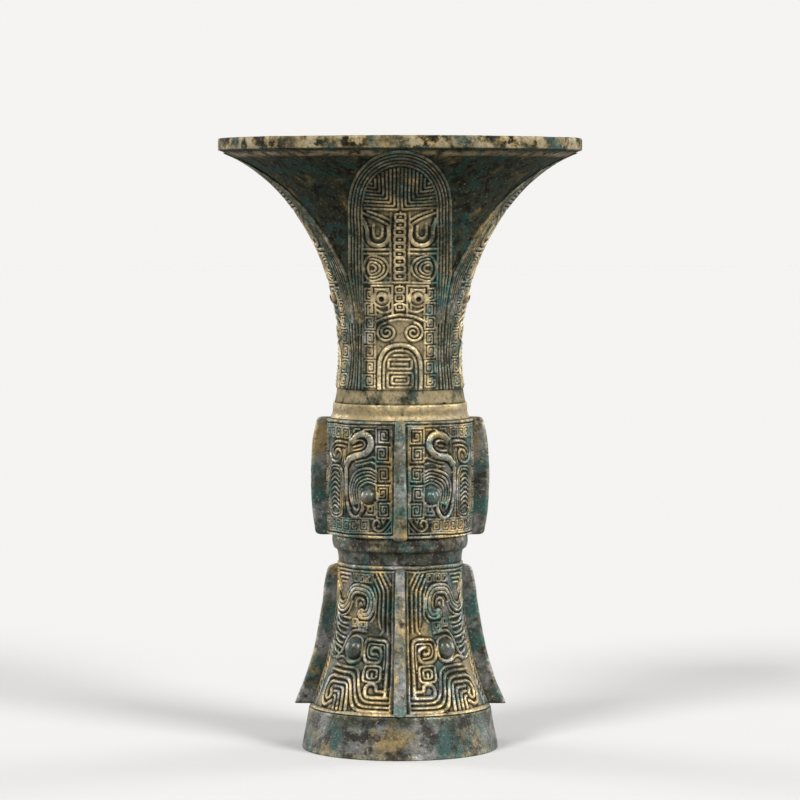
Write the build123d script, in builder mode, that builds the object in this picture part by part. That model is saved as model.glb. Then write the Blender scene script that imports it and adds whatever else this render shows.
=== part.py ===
from build123d import *
import os
from math import asin, cos, degrees, radians, sin, sqrt

os.makedirs("parts", exist_ok=True)

# Bronze gu: a flared beaker on a drum-shaped knop and a spreading foot.
# Millimetres. The vessel axis is Z, the standing face is at Z = 0 and the front faces -Y.

# Heights of the rim and of the seams between the cast sections
vessel_height = 170.0
neck_seam = 96.8
knop_top = 92.4
knop_bottom = 60.0
waist_bottom = 52.4
skirt_bottom = 11.6

# Outside of the trumpet: tangent arcs that leave the narrowest point of the neck upright.
# Each chain of arcs has its radii, and its lean from the vertical where one arc meets the next.
neck_point = (16.75, 111.2)
flare_radii = (68.7, 61.8, 43.6)
flare_leans = (19.4, 41.5)
lip_bottom = 166.6

# Bore of the trumpet, made the same way; it leaves a lip that is upright outside
bore_point = (14.1, 108.0)
bore_radii = (83.7, 54.0)
bore_leans = (25.2,)

# Outside of the foot skirt, with arcs that run down from the waist
skirt_point = (17.5, 50.0)
skirt_radii = (105.0, 80.9)
skirt_leans = (11.6,)
skirt_wall = 2.4

# Knop drum
drum_radius = 20.6
drum_wall = 2.6
drum_bevel = 0.4

# Neck collar: its upright side, the edge of its top and where it spreads onto the knop
collar_radius = 18.75
collar_top_radius = 18.3
collar_foot_radius = 19.7
collar_foot_height = 1.7

# Waist: the bead under the knop, with its height, and the plain neck below it
bead_radius = 19.0
bead_edges = (18.7, 18.5)
bead_height = 3.8
waist_radius = 17.2

# Spigots and the recesses that they seat in
spigot_depth = 1.2
neck_spigot_radius = 16.5
waist_spigot_radius = 16.0
waist_inner_radius = 14.2
skirt_spigot_radius = 16.1
tongue_width = 1.3

# Foot ring
foot_top_radius = 25.5
foot_middle = (26.2, 6.9)
foot_base_radius = 27.5
foot_wall = 2.6
foot_rounding = 0.5
tongue_clearance = 0.6

# Plantain-leaf blades on the flare
leaf_bottom = 100.6
leaf_half_width = 14.0
leaf_border = 4.0
leaf_spring = 150.0
leaf_rise = 16.0
leaf_field_relief = 0.45
leaf_border_relief = 0.8
leaf_sector = 44.4

# Domed eyes: azimuth from the front or back flange, height on the vessel, radius
knop_eye_azimuth = 25.0
knop_eye_height = 71.7
knop_eye_radius = 2.15
foot_eye_azimuth = 40.5
foot_eye_height = 29.4
foot_eye_radius = 2.7
leaf_eye_offset = 4.8
leaf_eye_height = 126.0
leaf_eye_radius = 2.0

# Flanges: points along the outer edge from the top down, as distance from the axis and height
knop_flange_outline = [(23.3, knop_top), (25.0, 77.5), (23.7, knop_bottom)]
foot_flange_outline = [(20.4, 51.4), (21.3, 47.2), (21.9, 40.5), (24.2, 28.0), (29.7, 12.3)]
flange_root = 12.0
flange_rounding = 0.6

# Widths of the flanges at the bottom and at the top
knop_flange_widths = (3.7, 2.7)
foot_flange_widths = (3.4, 2.5)

# Raised bands of the ornament, on the quarter right of the front: the way that each sets out and
# its points, as distance right of the middle of the quarter and height
band_relief = 0.45
bird_band_width = 1.6
bird_band_heading = (0.2, 1)
bird_band = [
    (-1.8, 86.2),
    (-4.3, 88.5),
    (-7.4, 87.4),
    (-6.9, 84.6),
    (-2.6, 82.4),
    (-0.7, 70.0),
    (-2.8, 66.0),
    (-5.2, 68.4),
]
mask_horn_width = 2.2
mask_horn_heading = (-0.5, -1)
mask_horn = [(9.2, 45.2), (5.2, 40.6), (1.2, 44.2), (-3.0, 46.2), (-2.2, 41.0)]

# Outline of the bird's wing, a long loop: its middle, height, width and thickness
wing_middle = (5.9, 72.6)
wing_height = 13.8
wing_width = 6.4
wing_line = 0.9

quarter_turns = {"front": 0, "right": 90, "back": 180, "left": 270}


def arc_chain(start, radii, leans, first_height, last_height, relief=0.0):
    """Start, middle and end points of tangent arcs that pass start upright.

    The chain runs from first_height, just behind start, to last_height.
    Relief moves it away from the vessel axis, square to the arcs.
    """
    way = 1 if last_height > start[1] else -1
    center_r = start[0] + radii[0]
    center_z = start[1]
    lean = -degrees(asin(way * (center_z - first_height) / (radii[0] - relief)))
    chain = []
    for index, radius in enumerate(radii):
        if index > 0:
            step = radii[index - 1] - radius
            center_r -= step * cos(radians(lean))
            center_z += way * step * sin(radians(lean))
        if index < len(leans):
            end_lean = leans[index]
        else:
            end_lean = degrees(asin(way * (last_height - center_z) / (radius - relief)))
        chain.append(
            [
                (
                    center_r - (radius - relief) * cos(radians(angle)),
                    center_z + way * (radius - relief) * sin(radians(angle)),
                )
                for angle in (lean, (lean + end_lean) / 2, end_lean)
            ]
        )
        lean = end_lean
    return chain


def draw_chain(chain):
    """Add the arcs of a chain to the line being built."""
    for start, middle, end in chain:
        ThreePointArc(start, middle, end)


def finish(piece, name):
    """Label a finished piece and write its file."""
    piece.part.label = name
    export_step(piece.part, f"parts/{name}.step")


def flare_chain(relief=0.0):
    """Outside of the trumpet, or of a skin of the given relief over it."""
    return arc_chain(neck_point, flare_radii, flare_leans, neck_seam, lip_bottom, relief)


def skirt_chain(relief=0.0):
    """Outside of the foot skirt, or the same line moved outwards by relief."""
    return arc_chain(skirt_point, skirt_radii, skirt_leans, waist_bottom, skirt_bottom, relief)


flare = flare_chain()
bore = arc_chain(bore_point, bore_radii, bore_leans, neck_seam, vessel_height)
skirt = skirt_chain()
skirt_inside = skirt_chain(-skirt_wall)
rim_radius = flare[-1][2][0]
spigot_bore = bore[0][0][0]

# Trumpet: the wall between two chains of arcs, with an upright lip and a straight spigot
with BuildPart() as trumpet:
    with BuildSketch(Plane.XZ):
        with BuildLine():
            draw_chain(flare)
            Polyline((rim_radius, lip_bottom), (rim_radius, vessel_height), bore[-1][2])
            draw_chain(bore)
            Polyline(
                bore[0][0],
                (spigot_bore, knop_top - spigot_depth),
                (neck_spigot_radius, knop_top - spigot_depth),
                (neck_spigot_radius, neck_seam),
                flare[0][0],
            )
        make_face()
    revolve(axis=Axis.Z)
finish(trumpet, "trumpet")

# Neck collar: rounded on top, hollowed where it spreads onto the knop
with BuildPart() as neck_collar:
    with BuildSketch(Plane.XZ):
        with BuildLine():
            Polyline(
                (collar_top_radius, neck_seam),
                (neck_spigot_radius, neck_seam),
                (neck_spigot_radius, knop_top),
                (collar_foot_radius, knop_top),
            )
            spread = TangentArc(
                (collar_radius, knop_top + collar_foot_height),
                (collar_foot_radius, knop_top),
                tangent=(0, -1),
            )
            side = Line(spread @ 0, (collar_radius, neck_seam - collar_radius + collar_top_radius))
            TangentArc(side @ 1, (collar_top_radius, neck_seam), tangent=side % 1)
        make_face()
    revolve(axis=Axis.Z)
finish(neck_collar, "neck_collar")

# Knop drum: hollow, with a shoulder that carries the neck and a ledge round the floor
with BuildPart() as knop_drum:
    with BuildSketch(Plane.XZ):
        with BuildLine():
            Polyline(
                (drum_radius, knop_bottom),
                (drum_radius, knop_top),
                (neck_spigot_radius, knop_top),
                (neck_spigot_radius, knop_top - spigot_depth),
                (spigot_bore, knop_top - spigot_depth),
                (spigot_bore, knop_top - drum_wall),
                (drum_radius - drum_wall, knop_top - drum_wall),
                (drum_radius - drum_wall, knop_bottom + drum_wall),
                (waist_spigot_radius, knop_bottom + drum_wall),
                (waist_spigot_radius, knop_bottom),
                close=True,
            )
        make_face()
    revolve(axis=Axis.Z)
    outside = knop_drum.edges().filter_by(GeomType.CIRCLE).sort_by(SortBy.RADIUS)[-2:]
    chamfer(outside, length=drum_bevel)
finish(knop_drum, "knop_drum")

# Cup floor: the disc that closes the cup, resting on the waist spigot
with BuildPart() as cup_floor:
    with BuildSketch(Plane.XY.offset(knop_bottom + spigot_depth)):
        Circle(waist_spigot_radius)
    extrude(amount=drum_wall - spigot_depth)
finish(cup_floor, "cup_floor")

# Waist ring: a bead under the knop over a plain narrow neck, with a spigot at each end
with BuildPart() as waist_ring:
    with BuildSketch(Plane.XZ):
        with BuildLine():
            Polyline(
                (waist_radius, waist_bottom),
                (skirt_spigot_radius, waist_bottom),
                (skirt_spigot_radius, waist_bottom - spigot_depth),
                (waist_inner_radius, waist_bottom - spigot_depth),
                (waist_inner_radius, knop_bottom + spigot_depth),
                (waist_spigot_radius, knop_bottom + spigot_depth),
                (waist_spigot_radius, knop_bottom),
                (bead_edges[0], knop_bottom),
            )
            bead = ThreePointArc(
                (bead_edges[0], knop_bottom),
                (bead_radius, knop_bottom - bead_height / 2),
                (bead_edges[1], knop_bottom - bead_height),
            )
            TangentArc((waist_radius, waist_bottom), bead @ 1, tangent=(0, 1))
        make_face()
    revolve(axis=Axis.Z)
finish(waist_ring, "waist_ring")

# Foot skirt: a shell of even wall, with the waist spigot let into its top
with BuildPart() as foot_skirt:
    with BuildSketch(Plane.XZ):
        with BuildLine():
            draw_chain(skirt)
            Line(skirt[-1][2], skirt_inside[-1][2])
            draw_chain(skirt_inside)
            Line(skirt_inside[0][0], skirt[0][0])
        make_face()
        with Locations((0, waist_bottom)):
            Rectangle(
                skirt_spigot_radius,
                spigot_depth,
                align=(Align.MIN, Align.MAX),
                mode=Mode.SUBTRACT,
            )
    revolve(axis=Axis.Z)
finish(foot_skirt, "foot_skirt")

# Foot ring: slightly hollow-sided and spreading, with a tongue inside the skirt
ring_top_inside = skirt_inside[-1][2][0]
with BuildPart() as foot_ring:
    with BuildSketch(Plane.XZ):
        with BuildLine():
            Polyline(
                (foot_base_radius, 0),
                (foot_base_radius - foot_wall, 0),
                (ring_top_inside - tongue_width, skirt_bottom),
                (ring_top_inside - tongue_width, skirt_bottom + spigot_depth),
                (ring_top_inside - tongue_clearance, skirt_bottom + spigot_depth),
                (ring_top_inside, skirt_bottom),
                (foot_top_radius, skirt_bottom),
            )
            ThreePointArc((foot_top_radius, skirt_bottom), foot_middle, (foot_base_radius, 0))
        make_face()
    revolve(axis=Axis.Z)
    fillet(foot_ring.edges().group_by(Axis.Z)[0], radius=foot_rounding)
finish(foot_ring, "foot_ring")

# Solid cores of the knop, the foot and the flare, which cut whatever seats on those walls
with BuildPart() as knop_core:
    with BuildSketch(Plane.XY.offset(knop_bottom)):
        Circle(drum_radius)
    extrude(amount=knop_top - knop_bottom)
with BuildPart() as skirt_core:
    with BuildSketch(Plane.XZ):
        with BuildLine():
            draw_chain(skirt)
            Polyline(skirt[-1][2], (0, skirt_bottom), (0, waist_bottom), skirt[0][0])
        make_face()
    revolve(axis=Axis.Z)


def skin_between(inner, outer):
    """Thin band of revolution between two chains of arcs."""
    with BuildPart() as skin:
        with BuildSketch(Plane.XZ):
            with BuildLine():
                draw_chain(inner)
                Line(inner[-1][2], outer[-1][2])
                draw_chain(outer)
                Line(outer[0][0], inner[0][0])
            make_face()
        revolve(axis=Axis.Z)
    return skin.part


def make_flange(outline, widths, core):
    """Upright rib at the front, tapered in front view, its outer edges rounded, seated on core.

    The outline holds the ends of the outer arcs and a point within each, from the top down.
    """
    bottom_width, top_width = widths
    high = outline[0][1]
    low = outline[-1][1]
    with BuildPart() as flange:
        with BuildSketch(Plane.YZ):
            with BuildLine():
                for index in range(0, len(outline) - 1, 2):
                    ThreePointArc(*[(-r, z) for r, z in outline[index : index + 3]])
                Polyline(
                    (-outline[-1][0], low),
                    (-flange_root, low),
                    (-flange_root, high),
                    (-outline[0][0], high),
                )
            make_face()
        extrude(amount=bottom_width, both=True)
        with BuildSketch(Plane.XZ):
            with BuildLine():
                Polyline(
                    (-bottom_width / 2, low),
                    (bottom_width / 2, low),
                    (top_width / 2, high),
                    (-top_width / 2, high),
                    close=True,
                )
            make_face()
        extrude(amount=2 * rim_radius, mode=Mode.INTERSECT)
        outer_faces = flange.faces().filter_by(GeomType.CYLINDER)
        fillet(outer_faces.edges(), radius=flange_rounding)
        add(core, mode=Mode.SUBTRACT)
    return flange


def place_around(first, stem):
    """Write the front piece and its three turned copies."""
    for side, turn in quarter_turns.items():
        with BuildPart() as copy:
            add(first.part, rotation=(0, 0, turn))
        finish(copy, f"{stem}_{side}")


knop_flange = make_flange(knop_flange_outline, knop_flange_widths, knop_core.part)
place_around(knop_flange, "knop_flange")
foot_flange = make_flange(foot_flange_outline, foot_flange_widths, skirt_core.part)
place_around(foot_flange, "foot_flange")


def draw_band(points, heading, width):
    """Ribbon with round ends along a chain of tangent arcs, added to the sketch being built."""
    with BuildLine() as path:
        for start, end in zip(points, points[1:]):
            arc = TangentArc(start, end, tangent=heading)
            heading = arc % 1
    trace(path.line, line_width=width)
    with Locations(points[0], points[-1]):
        Circle(width / 2)


def draw_bird():
    """Crest, neck and body in one band, beside the loop of the wing."""
    draw_band(bird_band, bird_band_heading, bird_band_width)
    with Locations(wing_middle):
        SlotOverall(wing_height, wing_width, rotation=90)
        SlotOverall(
            wing_height - 2 * wing_line,
            wing_width - 2 * wing_line,
            rotation=90,
            mode=Mode.SUBTRACT,
        )


def draw_mask():
    """Horn of half a mask."""
    draw_band(mask_horn, mask_horn_heading, mask_horn_width)


def place_quarters(draw, skin, stem):
    """Raise a drawing on the four quarters: made on one of them, bent to its skin and mirrored."""
    with BuildPart() as raised:
        with BuildSketch(Plane(origin=(0, 0, 0), x_dir=(1, 1, 0), z_dir=(1, -1, 0))):
            draw()
        extrude(amount=rim_radius)
        add(skin, mode=Mode.INTERSECT)
    for end, about_front in (("front", None), ("back", Plane.XZ)):
        for side, about_side in (("right", None), ("left", Plane.YZ)):
            with BuildPart() as copy:
                add(raised.part)
                for plane in (about_front, about_side):
                    if plane is not None:
                        mirror(about=plane, mode=Mode.REPLACE)
            finish(copy, f"{stem}_{end}_{side}")


# Birds on the knop and the horns of the masks on the foot
with BuildPart() as drum_skin:
    with BuildSketch(Plane.XY.offset(knop_bottom)):
        Circle(drum_radius + band_relief)
        Circle(drum_radius, mode=Mode.SUBTRACT)
    extrude(amount=knop_top - knop_bottom)
place_quarters(draw_bird, drum_skin.part, "knop_bird")
place_quarters(draw_mask, skin_between(skirt, skirt_chain(band_relief)), "foot_mask")


def leaf_outline(margin=0.0):
    """Front view of a leaf blade: upright sides under a pointed-oval arch, drawn in by margin."""
    half_width = leaf_half_width - margin
    with Locations((0, leaf_bottom)):
        Rectangle(2 * half_width, leaf_spring - leaf_bottom, align=(Align.CENTER, Align.MIN))
    with Locations((0, leaf_spring)):
        Ellipse(half_width, leaf_rise - margin)


# Leaf blade: a low field inside a higher border, both bent to the flare
with BuildPart() as leaf_field:
    with BuildSketch(Plane.XZ):
        leaf_outline(leaf_border)
    extrude(amount=rim_radius)
    add(
        skin_between(flare_chain(leaf_field_relief), flare_chain(2 * leaf_border_relief)),
        mode=Mode.INTERSECT,
    )
with BuildPart() as leaf:
    with BuildSketch(Plane.XZ):
        leaf_outline()
    extrude(amount=rim_radius)
    add(skin_between(flare, flare_chain(leaf_border_relief)), mode=Mode.INTERSECT)
    with BuildSketch(Plane.XY.offset(neck_seam)):
        with BuildLine():
            side_x = 2 * rim_radius * sin(radians(leaf_sector))
            side_y = 2 * rim_radius * cos(radians(leaf_sector))
            Polyline((0, 0), (-side_x, -side_y), (side_x, -side_y), close=True)
        make_face()
    extrude(amount=vessel_height - neck_seam, mode=Mode.INTERSECT)
    add(leaf_field.part, mode=Mode.SUBTRACT)
place_around(leaf, "leaf")


def arc_radius(start, radius, height, relief=0.0):
    """Distance from the axis of the first arc of a chain at a height, moved out by relief."""
    return start[0] + radius - sqrt((radius - relief) ** 2 - (height - start[1]) ** 2)


def make_eyes(name, azimuth, seat_radius, height, eye_radius, core, turns):
    """Domed eyes, their bases cut to the wall: a pair about the front and its turned copies."""
    with BuildPart() as pair:
        with Locations((seat_radius * sin(radians(azimuth)), -seat_radius * cos(radians(azimuth)), height)):
            Sphere(eye_radius)
        add(core, mode=Mode.SUBTRACT)
        mirror(about=Plane.YZ)
    with BuildPart() as eyes:
        for turn in turns:
            add(pair.part, rotation=(0, 0, turn))
    finish(eyes, name)


make_eyes("knop_eyes", knop_eye_azimuth, drum_radius, knop_eye_height, knop_eye_radius, knop_core.part, (0, 180))
foot_eye_seat = arc_radius(skirt_point, skirt_radii[0], foot_eye_height)
make_eyes("foot_eyes", foot_eye_azimuth, foot_eye_seat, foot_eye_height, foot_eye_radius, skirt_core.part, (0, 180))

# The small eyes stand on the sunk field of the leaves
with BuildPart() as leaf_core:
    with BuildSketch(Plane.XZ):
        leaf_surface = flare_chain(leaf_field_relief)
        with BuildLine():
            draw_chain(leaf_surface)
            Polyline(leaf_surface[-1][2], (0, lip_bottom), (0, neck_seam), leaf_surface[0][0])
        make_face()
    revolve(axis=Axis.Z)
leaf_eye_seat = arc_radius(neck_point, flare_radii[0], leaf_eye_height, leaf_field_relief)
make_eyes(
    "leaf_eyes",
    degrees(asin(leaf_eye_offset / leaf_eye_seat)),
    leaf_eye_seat,
    leaf_eye_height,
    leaf_eye_radius,
    leaf_core.part,
    quarter_turns.values(),
)
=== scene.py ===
import functools
import math
import bpy
import numpy as np
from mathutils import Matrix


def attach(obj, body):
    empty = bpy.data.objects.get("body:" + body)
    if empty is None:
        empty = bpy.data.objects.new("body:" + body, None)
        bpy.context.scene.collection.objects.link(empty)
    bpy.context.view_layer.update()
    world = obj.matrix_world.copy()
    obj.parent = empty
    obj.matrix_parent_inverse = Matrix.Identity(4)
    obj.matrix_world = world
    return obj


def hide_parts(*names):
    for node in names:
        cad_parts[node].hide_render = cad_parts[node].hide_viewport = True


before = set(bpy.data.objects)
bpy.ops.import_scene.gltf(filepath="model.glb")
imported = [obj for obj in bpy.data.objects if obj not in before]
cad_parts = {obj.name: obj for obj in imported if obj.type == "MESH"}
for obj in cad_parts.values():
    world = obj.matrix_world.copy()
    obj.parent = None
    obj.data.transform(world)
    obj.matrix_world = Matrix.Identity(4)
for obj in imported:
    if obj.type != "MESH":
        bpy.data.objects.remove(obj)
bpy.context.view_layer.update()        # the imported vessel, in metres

mm = 0.001
print("stage: frame loaded,", len(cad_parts), "pieces")


# Wall lines of the vessel, in mm from the axis

trumpetLine = {
    "neck": (16.75, 111.2),
    "radii": (68.7, 61.8, 43.6),
    "leans": (19.4, 41.5),
    "bore": (14.1, 108.0),
    "boreRadii": (83.7, 54.0),
    "boreLeans": (25.2,),
    "seam": 96.8,
    "lipUnder": 166.6,
    "rim": 170.0,
}
skirtLine = {
    "waist": (17.5, 50.0),
    "radii": (105.0, 80.9),
    "leans": (11.6,),
    "wall": 2.4,
}


def arcLine(start, radii, leans, way):
    # distance from the axis along tangent arcs that leave the start point upright
    centerR, centerZ = start[0] + radii[0], start[1]
    spans = []
    for index, radius in enumerate(radii):
        if index > 0:
            lean = math.radians(leans[index - 1])
            centerR -= (radii[index - 1] - radius) * math.cos(lean)
            centerZ += way * (radii[index - 1] - radius) * math.sin(lean)
        limit = math.inf
        if index < len(leans):
            limit = way * centerZ + radius * math.sin(math.radians(leans[index]))
        spans.append((limit, centerR, centerZ, radius))

    def radiusAt(height):
        height = np.asarray(height, float)
        out = np.zeros(height.shape)
        for limit, midR, midZ, radius in reversed(spans):
            drop = np.sqrt(np.clip(radius**2 - (height - midZ) ** 2, 0, None))
            out = np.where(way * height <= limit, midR - drop, out)
        return out

    return radiusAt


flareRadius = arcLine(trumpetLine["neck"], trumpetLine["radii"], trumpetLine["leans"], 1)
boreRadius = arcLine(trumpetLine["bore"], trumpetLine["boreRadii"], trumpetLine["boreLeans"], 1)
skirtRadius = arcLine(skirtLine["waist"], skirtLine["radii"], skirtLine["leans"], -1)


# Noise for hand-worked surfaces

def smoothNoise(points, cell, seed):
    # value noise from -1 to 1; points hold two or three coordinates in the last axis
    tableSize = 4096
    table = np.random.default_rng(seed).uniform(-1, 1, tableSize)
    scaled = np.asarray(points, float) / cell
    low = np.floor(scaled).astype(np.int64)
    part = scaled - low
    part = part * part * (3 - 2 * part)
    total = np.zeros(scaled.shape[:-1])
    dims = scaled.shape[-1]
    primes = (73856093, 19349663, 83492791)
    for corner in range(2**dims):
        weight = np.ones(scaled.shape[:-1])
        key = np.zeros(scaled.shape[:-1], np.int64)
        for axis in range(dims):
            bit = corner >> axis & 1
            weight = weight * (part[..., axis] if bit else 1 - part[..., axis])
            key = key ^ (low[..., axis] + bit) * primes[axis]
        total += weight * table[key & (tableSize - 1)]
    return total


def roughNoise(points, cell, seed, octaves):
    total, gain = 0, 1.0
    for octave in range(octaves):
        total = total + gain * smoothNoise(points, cell / 2**octave, seed + octave)
        gain *= 0.5
    return total


# Closed meshes from a grid of points

uvLayout = {
    "wallShare": 0.96,  # of the picture's height, for the grid of a piece
    "capLevel": 0.98,  # middle of the caps, above the grid
    "firstCap": 0.1,
    "capStep": 0.3,
    "capHalf": (0.1, 0.015),
}


def gridUv(rows, columns):
    # the corners of each quad of the grid
    row, column = np.meshgrid(np.arange(rows) / rows, np.arange(columns) / columns, indexing="ij")
    turns = ((0, 0), (1, 0), (1, 1), (0, 1))
    corners = [np.stack([column + right / columns, row + up / rows], -1) for right, up in turns]
    return np.stack(corners, 2).reshape(-1, 4, 2) * [1, uvLayout["wallShare"]]


def capUv(ring, number):
    # a cap laid flat in a place of its own
    spread = ring - ring.mean(0)
    place = spread @ np.linalg.svd(spread, full_matrices=False)[2][:2].T
    place /= max(np.abs(place).max(), 1e-9)
    middle = [uvLayout["firstCap"] + uvLayout["capStep"] * number, uvLayout["capLevel"]]
    return middle + place * uvLayout["capHalf"]


def tubeMesh(name, points, material, wrapRows=False, wrapColumns=True, ridge=None, hollow=None):
    # points (rows, columns, 3) in mm; the open ends of the tube are closed with caps
    rows, columns = points.shape[:2]
    index = np.arange(rows * columns).reshape(rows, columns)
    if wrapRows:
        index = np.vstack([index, index[:1]])
    if wrapColumns:
        index = np.hstack([index, index[:, :1]])
    quads = np.stack([index[:-1, :-1], index[:-1, 1:], index[1:, 1:], index[1:, :-1]], -1).reshape(-1, 4)
    caps = []
    if not wrapRows:
        caps += [index[0, :columns][::-1], index[-1, :columns]]
    if not wrapColumns:
        caps += [index[:rows, 0], index[:rows, -1][::-1]]
    flat = points.reshape(-1, 3) * mm
    uvs = [gridUv(index.shape[0] - 1, index.shape[1] - 1)]
    uvs += [capUv(flat[cap], number) for number, cap in enumerate(caps)]

    # a mesh with its inside out has a volume below zero, and all its faces are turned
    a, b, c, d = (flat[quads[:, k]] for k in range(4))
    volume = np.sum(a * np.cross(b, c)) + np.sum(a * np.cross(c, d))
    for cap in caps:
        ring = flat[cap]
        volume += np.sum(ring[0] * np.cross(ring[1:-1], ring[2:]))
    if volume < 0:
        quads = quads[:, ::-1]
        caps = [cap[::-1] for cap in caps]
        uvs = [uv[..., ::-1, :] for uv in uvs]

    corners = np.concatenate([quads.ravel()] + caps)
    sizes = np.array([4] * len(quads) + [len(cap) for cap in caps])
    starts = np.concatenate([[0], np.cumsum(sizes)[:-1]])
    mesh = bpy.data.meshes.new(name)
    mesh.vertices.add(len(flat))
    mesh.vertices.foreach_set("co", flat.ravel())
    mesh.loops.add(len(corners))
    mesh.loops.foreach_set("vertex_index", corners.astype(np.int32))
    mesh.polygons.add(len(sizes))
    mesh.polygons.foreach_set("loop_start", starts.astype(np.int32))
    mesh.update(calc_edges=True)
    mesh.polygons.foreach_set("use_smooth", np.arange(len(sizes)) < len(quads))
    places = np.concatenate([uv.reshape(-1, 2) for uv in uvs])
    mesh.uv_layers.new(name="OFBake").data.foreach_set("uv", places.ravel())
    for label, values in (("ridge", ridge), ("hollow", hollow)):
        if values is None:
            values = np.zeros(rows * columns)
        store = mesh.attributes.new(label, "FLOAT", "POINT")
        store.data.foreach_set("value", np.asarray(values, np.float32).ravel())
    mesh.materials.append(material)
    piece = bpy.data.objects.new(name, mesh)
    bpy.context.scene.collection.objects.link(piece)
    return piece


def around(radius, azimuth, height):
    # mm coordinates from distance, azimuth in degrees and height, broadcast together
    turn = np.radians(azimuth)
    radius, turn, height = np.broadcast_arrays(radius, turn, height)
    return np.stack([radius * np.cos(turn), radius * np.sin(turn), height], -1)


def settle(piece, slotName, *nodes):
    # every piece is fixed to the vessel's one body and stands for its nodes
    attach(piece, "root")
    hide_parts(*nodes)


# The four sides of the vessel, and its four quarters between them

sides = (("front", -90), ("right", 0), ("back", 90), ("left", 180))
quarters = (  # name, azimuth of the flange it starts from and the way it runs
    ("front_right", -90, 1),
    ("front_left", -90, -1),
    ("back_right", 90, -1),
    ("back_left", 90, 1),
)


# Relief pressed into a fine height map, from strokes like those of a carver's model

reliefLook = {
    "soft": 0.2,  # mm over which the side of a line falls
    "fullWear": 0.42,  # mm of height at which a line is rubbed all over
    "edgeBlur": 1,  # samples
    "hollowBlur": 5,
    "waverCell": 5.5,  # mm, of the slight unevenness of the drawing
    "wornCell": 4,  # mm, of the places where lines are worn lower
    "wornShare": 0.14,
    "pitCell": 1.0,
    "pits": 0.03,  # mm
}


def newMap(low, high, step, unit=1.0):
    # low and high are (across, height); across is in units of unit mm, such as one degree of arc
    across = np.arange(low[0] * unit, high[0] * unit + step, step)
    upright = np.arange(low[1], high[1] + step, step)
    field = np.zeros((len(upright), len(across)))
    return {"across": across, "upright": upright, "step": step, "unit": unit, "field": field}


def segmentWindow(relief, start, end, margin):
    # rows and columns of the map that a segment can reach
    spans = []
    for axis, scale in ((1, relief["upright"]), (0, relief["across"])):
        low = min(start[axis], end[axis]) - margin - scale[0]
        high = max(start[axis], end[axis]) + margin - scale[0]
        spans.append(slice(max(0, int(low / relief["step"])), max(0, int(high / relief["step"]) + 2)))
    return tuple(spans)


def press(relief, points, half, height, form="line"):
    # line is flat topped, band is rounded, groove cuts what is there
    path = np.array(points, float) * [relief["unit"], 1]
    soft, farAway = reliefLook["soft"], 9.0
    stamp = np.full(relief["field"].shape, farAway)
    for start, end in zip(path[:-1], path[1:]):
        rows, columns = segmentWindow(relief, start, end, half + soft)
        du = relief["across"][columns][None, :] - start[0]
        dz = relief["upright"][rows][:, None] - start[1]
        run = end - start
        along = np.clip((du * run[0] + dz * run[1]) / max(run @ run, 1e-9), 0, 1)
        distance = np.hypot(du - along * run[0], dz - along * run[1])
        stamp[rows, columns] = np.minimum(stamp[rows, columns], distance)
    if form == "band":
        shape = np.sqrt(np.clip(1 - (stamp / (half + soft / 4)) ** 2, 0, 1))
    else:
        shape = np.clip((half + soft / 2 - stamp) / soft, 0, 1)
        shape = shape * shape * (3 - 2 * shape)
    field = relief["field"]
    if form == "groove":
        field -= height * shape
    else:
        np.maximum(field, height * shape, out=field)


def carver(relief, lineHeight):
    # short calls for strokes on one map: as given, through a smooth curve, or with rounded corners;
    # half is half the width of the line, in mm
    def draw(points, half=0.2, height=lineHeight, form="line"):
        press(relief, points, half, height, form)

    def flow(points, *stroke):
        draw(rounded(points), *stroke)

    def fold(points, corner, *stroke):
        draw(squared(points, corner, relief["unit"]), *stroke)

    return draw, flow, fold


def blurred(field, cells):
    # separable box blur, twice, for soft edges and for the depth of hollows
    out = field
    for _ in range(2):
        for axis in (0, 1):
            width = 2 * cells + 1
            pads = [(cells + 1, cells) if k == axis else (0, 0) for k in (0, 1)]
            total = np.cumsum(np.pad(out, pads, mode="edge"), axis=axis)
            upper = np.take(total, np.arange(width, total.shape[axis]), axis=axis)
            lower = np.take(total, np.arange(0, total.shape[axis] - width), axis=axis)
            out = (upper - lower) / width
    return out


def sample(relief, field, across, upright):
    u = (across - relief["across"][0]) / relief["step"]
    z = (upright - relief["upright"][0]) / relief["step"]
    justInside = 1.001
    u = np.clip(u, 0, field.shape[1] - justInside)
    z = np.clip(z, 0, field.shape[0] - justInside)
    iu, iz = u.astype(int), z.astype(int)
    fu, fz = u - iu, z - iz
    lower = field[iz, iu] * (1 - fu) + field[iz, iu + 1] * fu
    upper = field[iz + 1, iu] * (1 - fu) + field[iz + 1, iu + 1] * fu
    return lower * (1 - fz) + upper * fz


def finished(relief):
    # the map with softened edges, with the wear of its ridges from 0 to 1 and how far each point
    # lies below its surroundings, in mm
    field = blurred(relief["field"], reliefLook["edgeBlur"])
    ridge = np.clip(field / reliefLook["fullWear"], 0, 1)
    hollow = np.clip(blurred(field, reliefLook["hollowBlur"]) - field, 0, 1)
    return relief | {"layers": (field, ridge, hollow)}


def carved(relief, ground, across, upright, seed, waver, mirror=False):
    # the carved surface over its ground, with its wear and hollows; no two pieces are quite alike
    look = reliefLook
    place = np.stack([across, upright], -1)
    readU = across + waver * smoothNoise(place, look["waverCell"], seed)
    readZ = upright + waver * smoothNoise(place, look["waverCell"], seed + 1)
    if mirror:
        readU = np.abs(readU)
    height, ridge, hollow = (sample(relief, layer, readU, readZ) for layer in relief["layers"])
    worn = 1 - look["wornShare"] + look["wornShare"] * smoothNoise(place, look["wornCell"], seed + 5)
    pits = look["pits"] * roughNoise(place, look["pitCell"], seed + 6, 3)
    return ground + height * worn + pits, ridge, hollow


# Paths for the strokes

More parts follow.
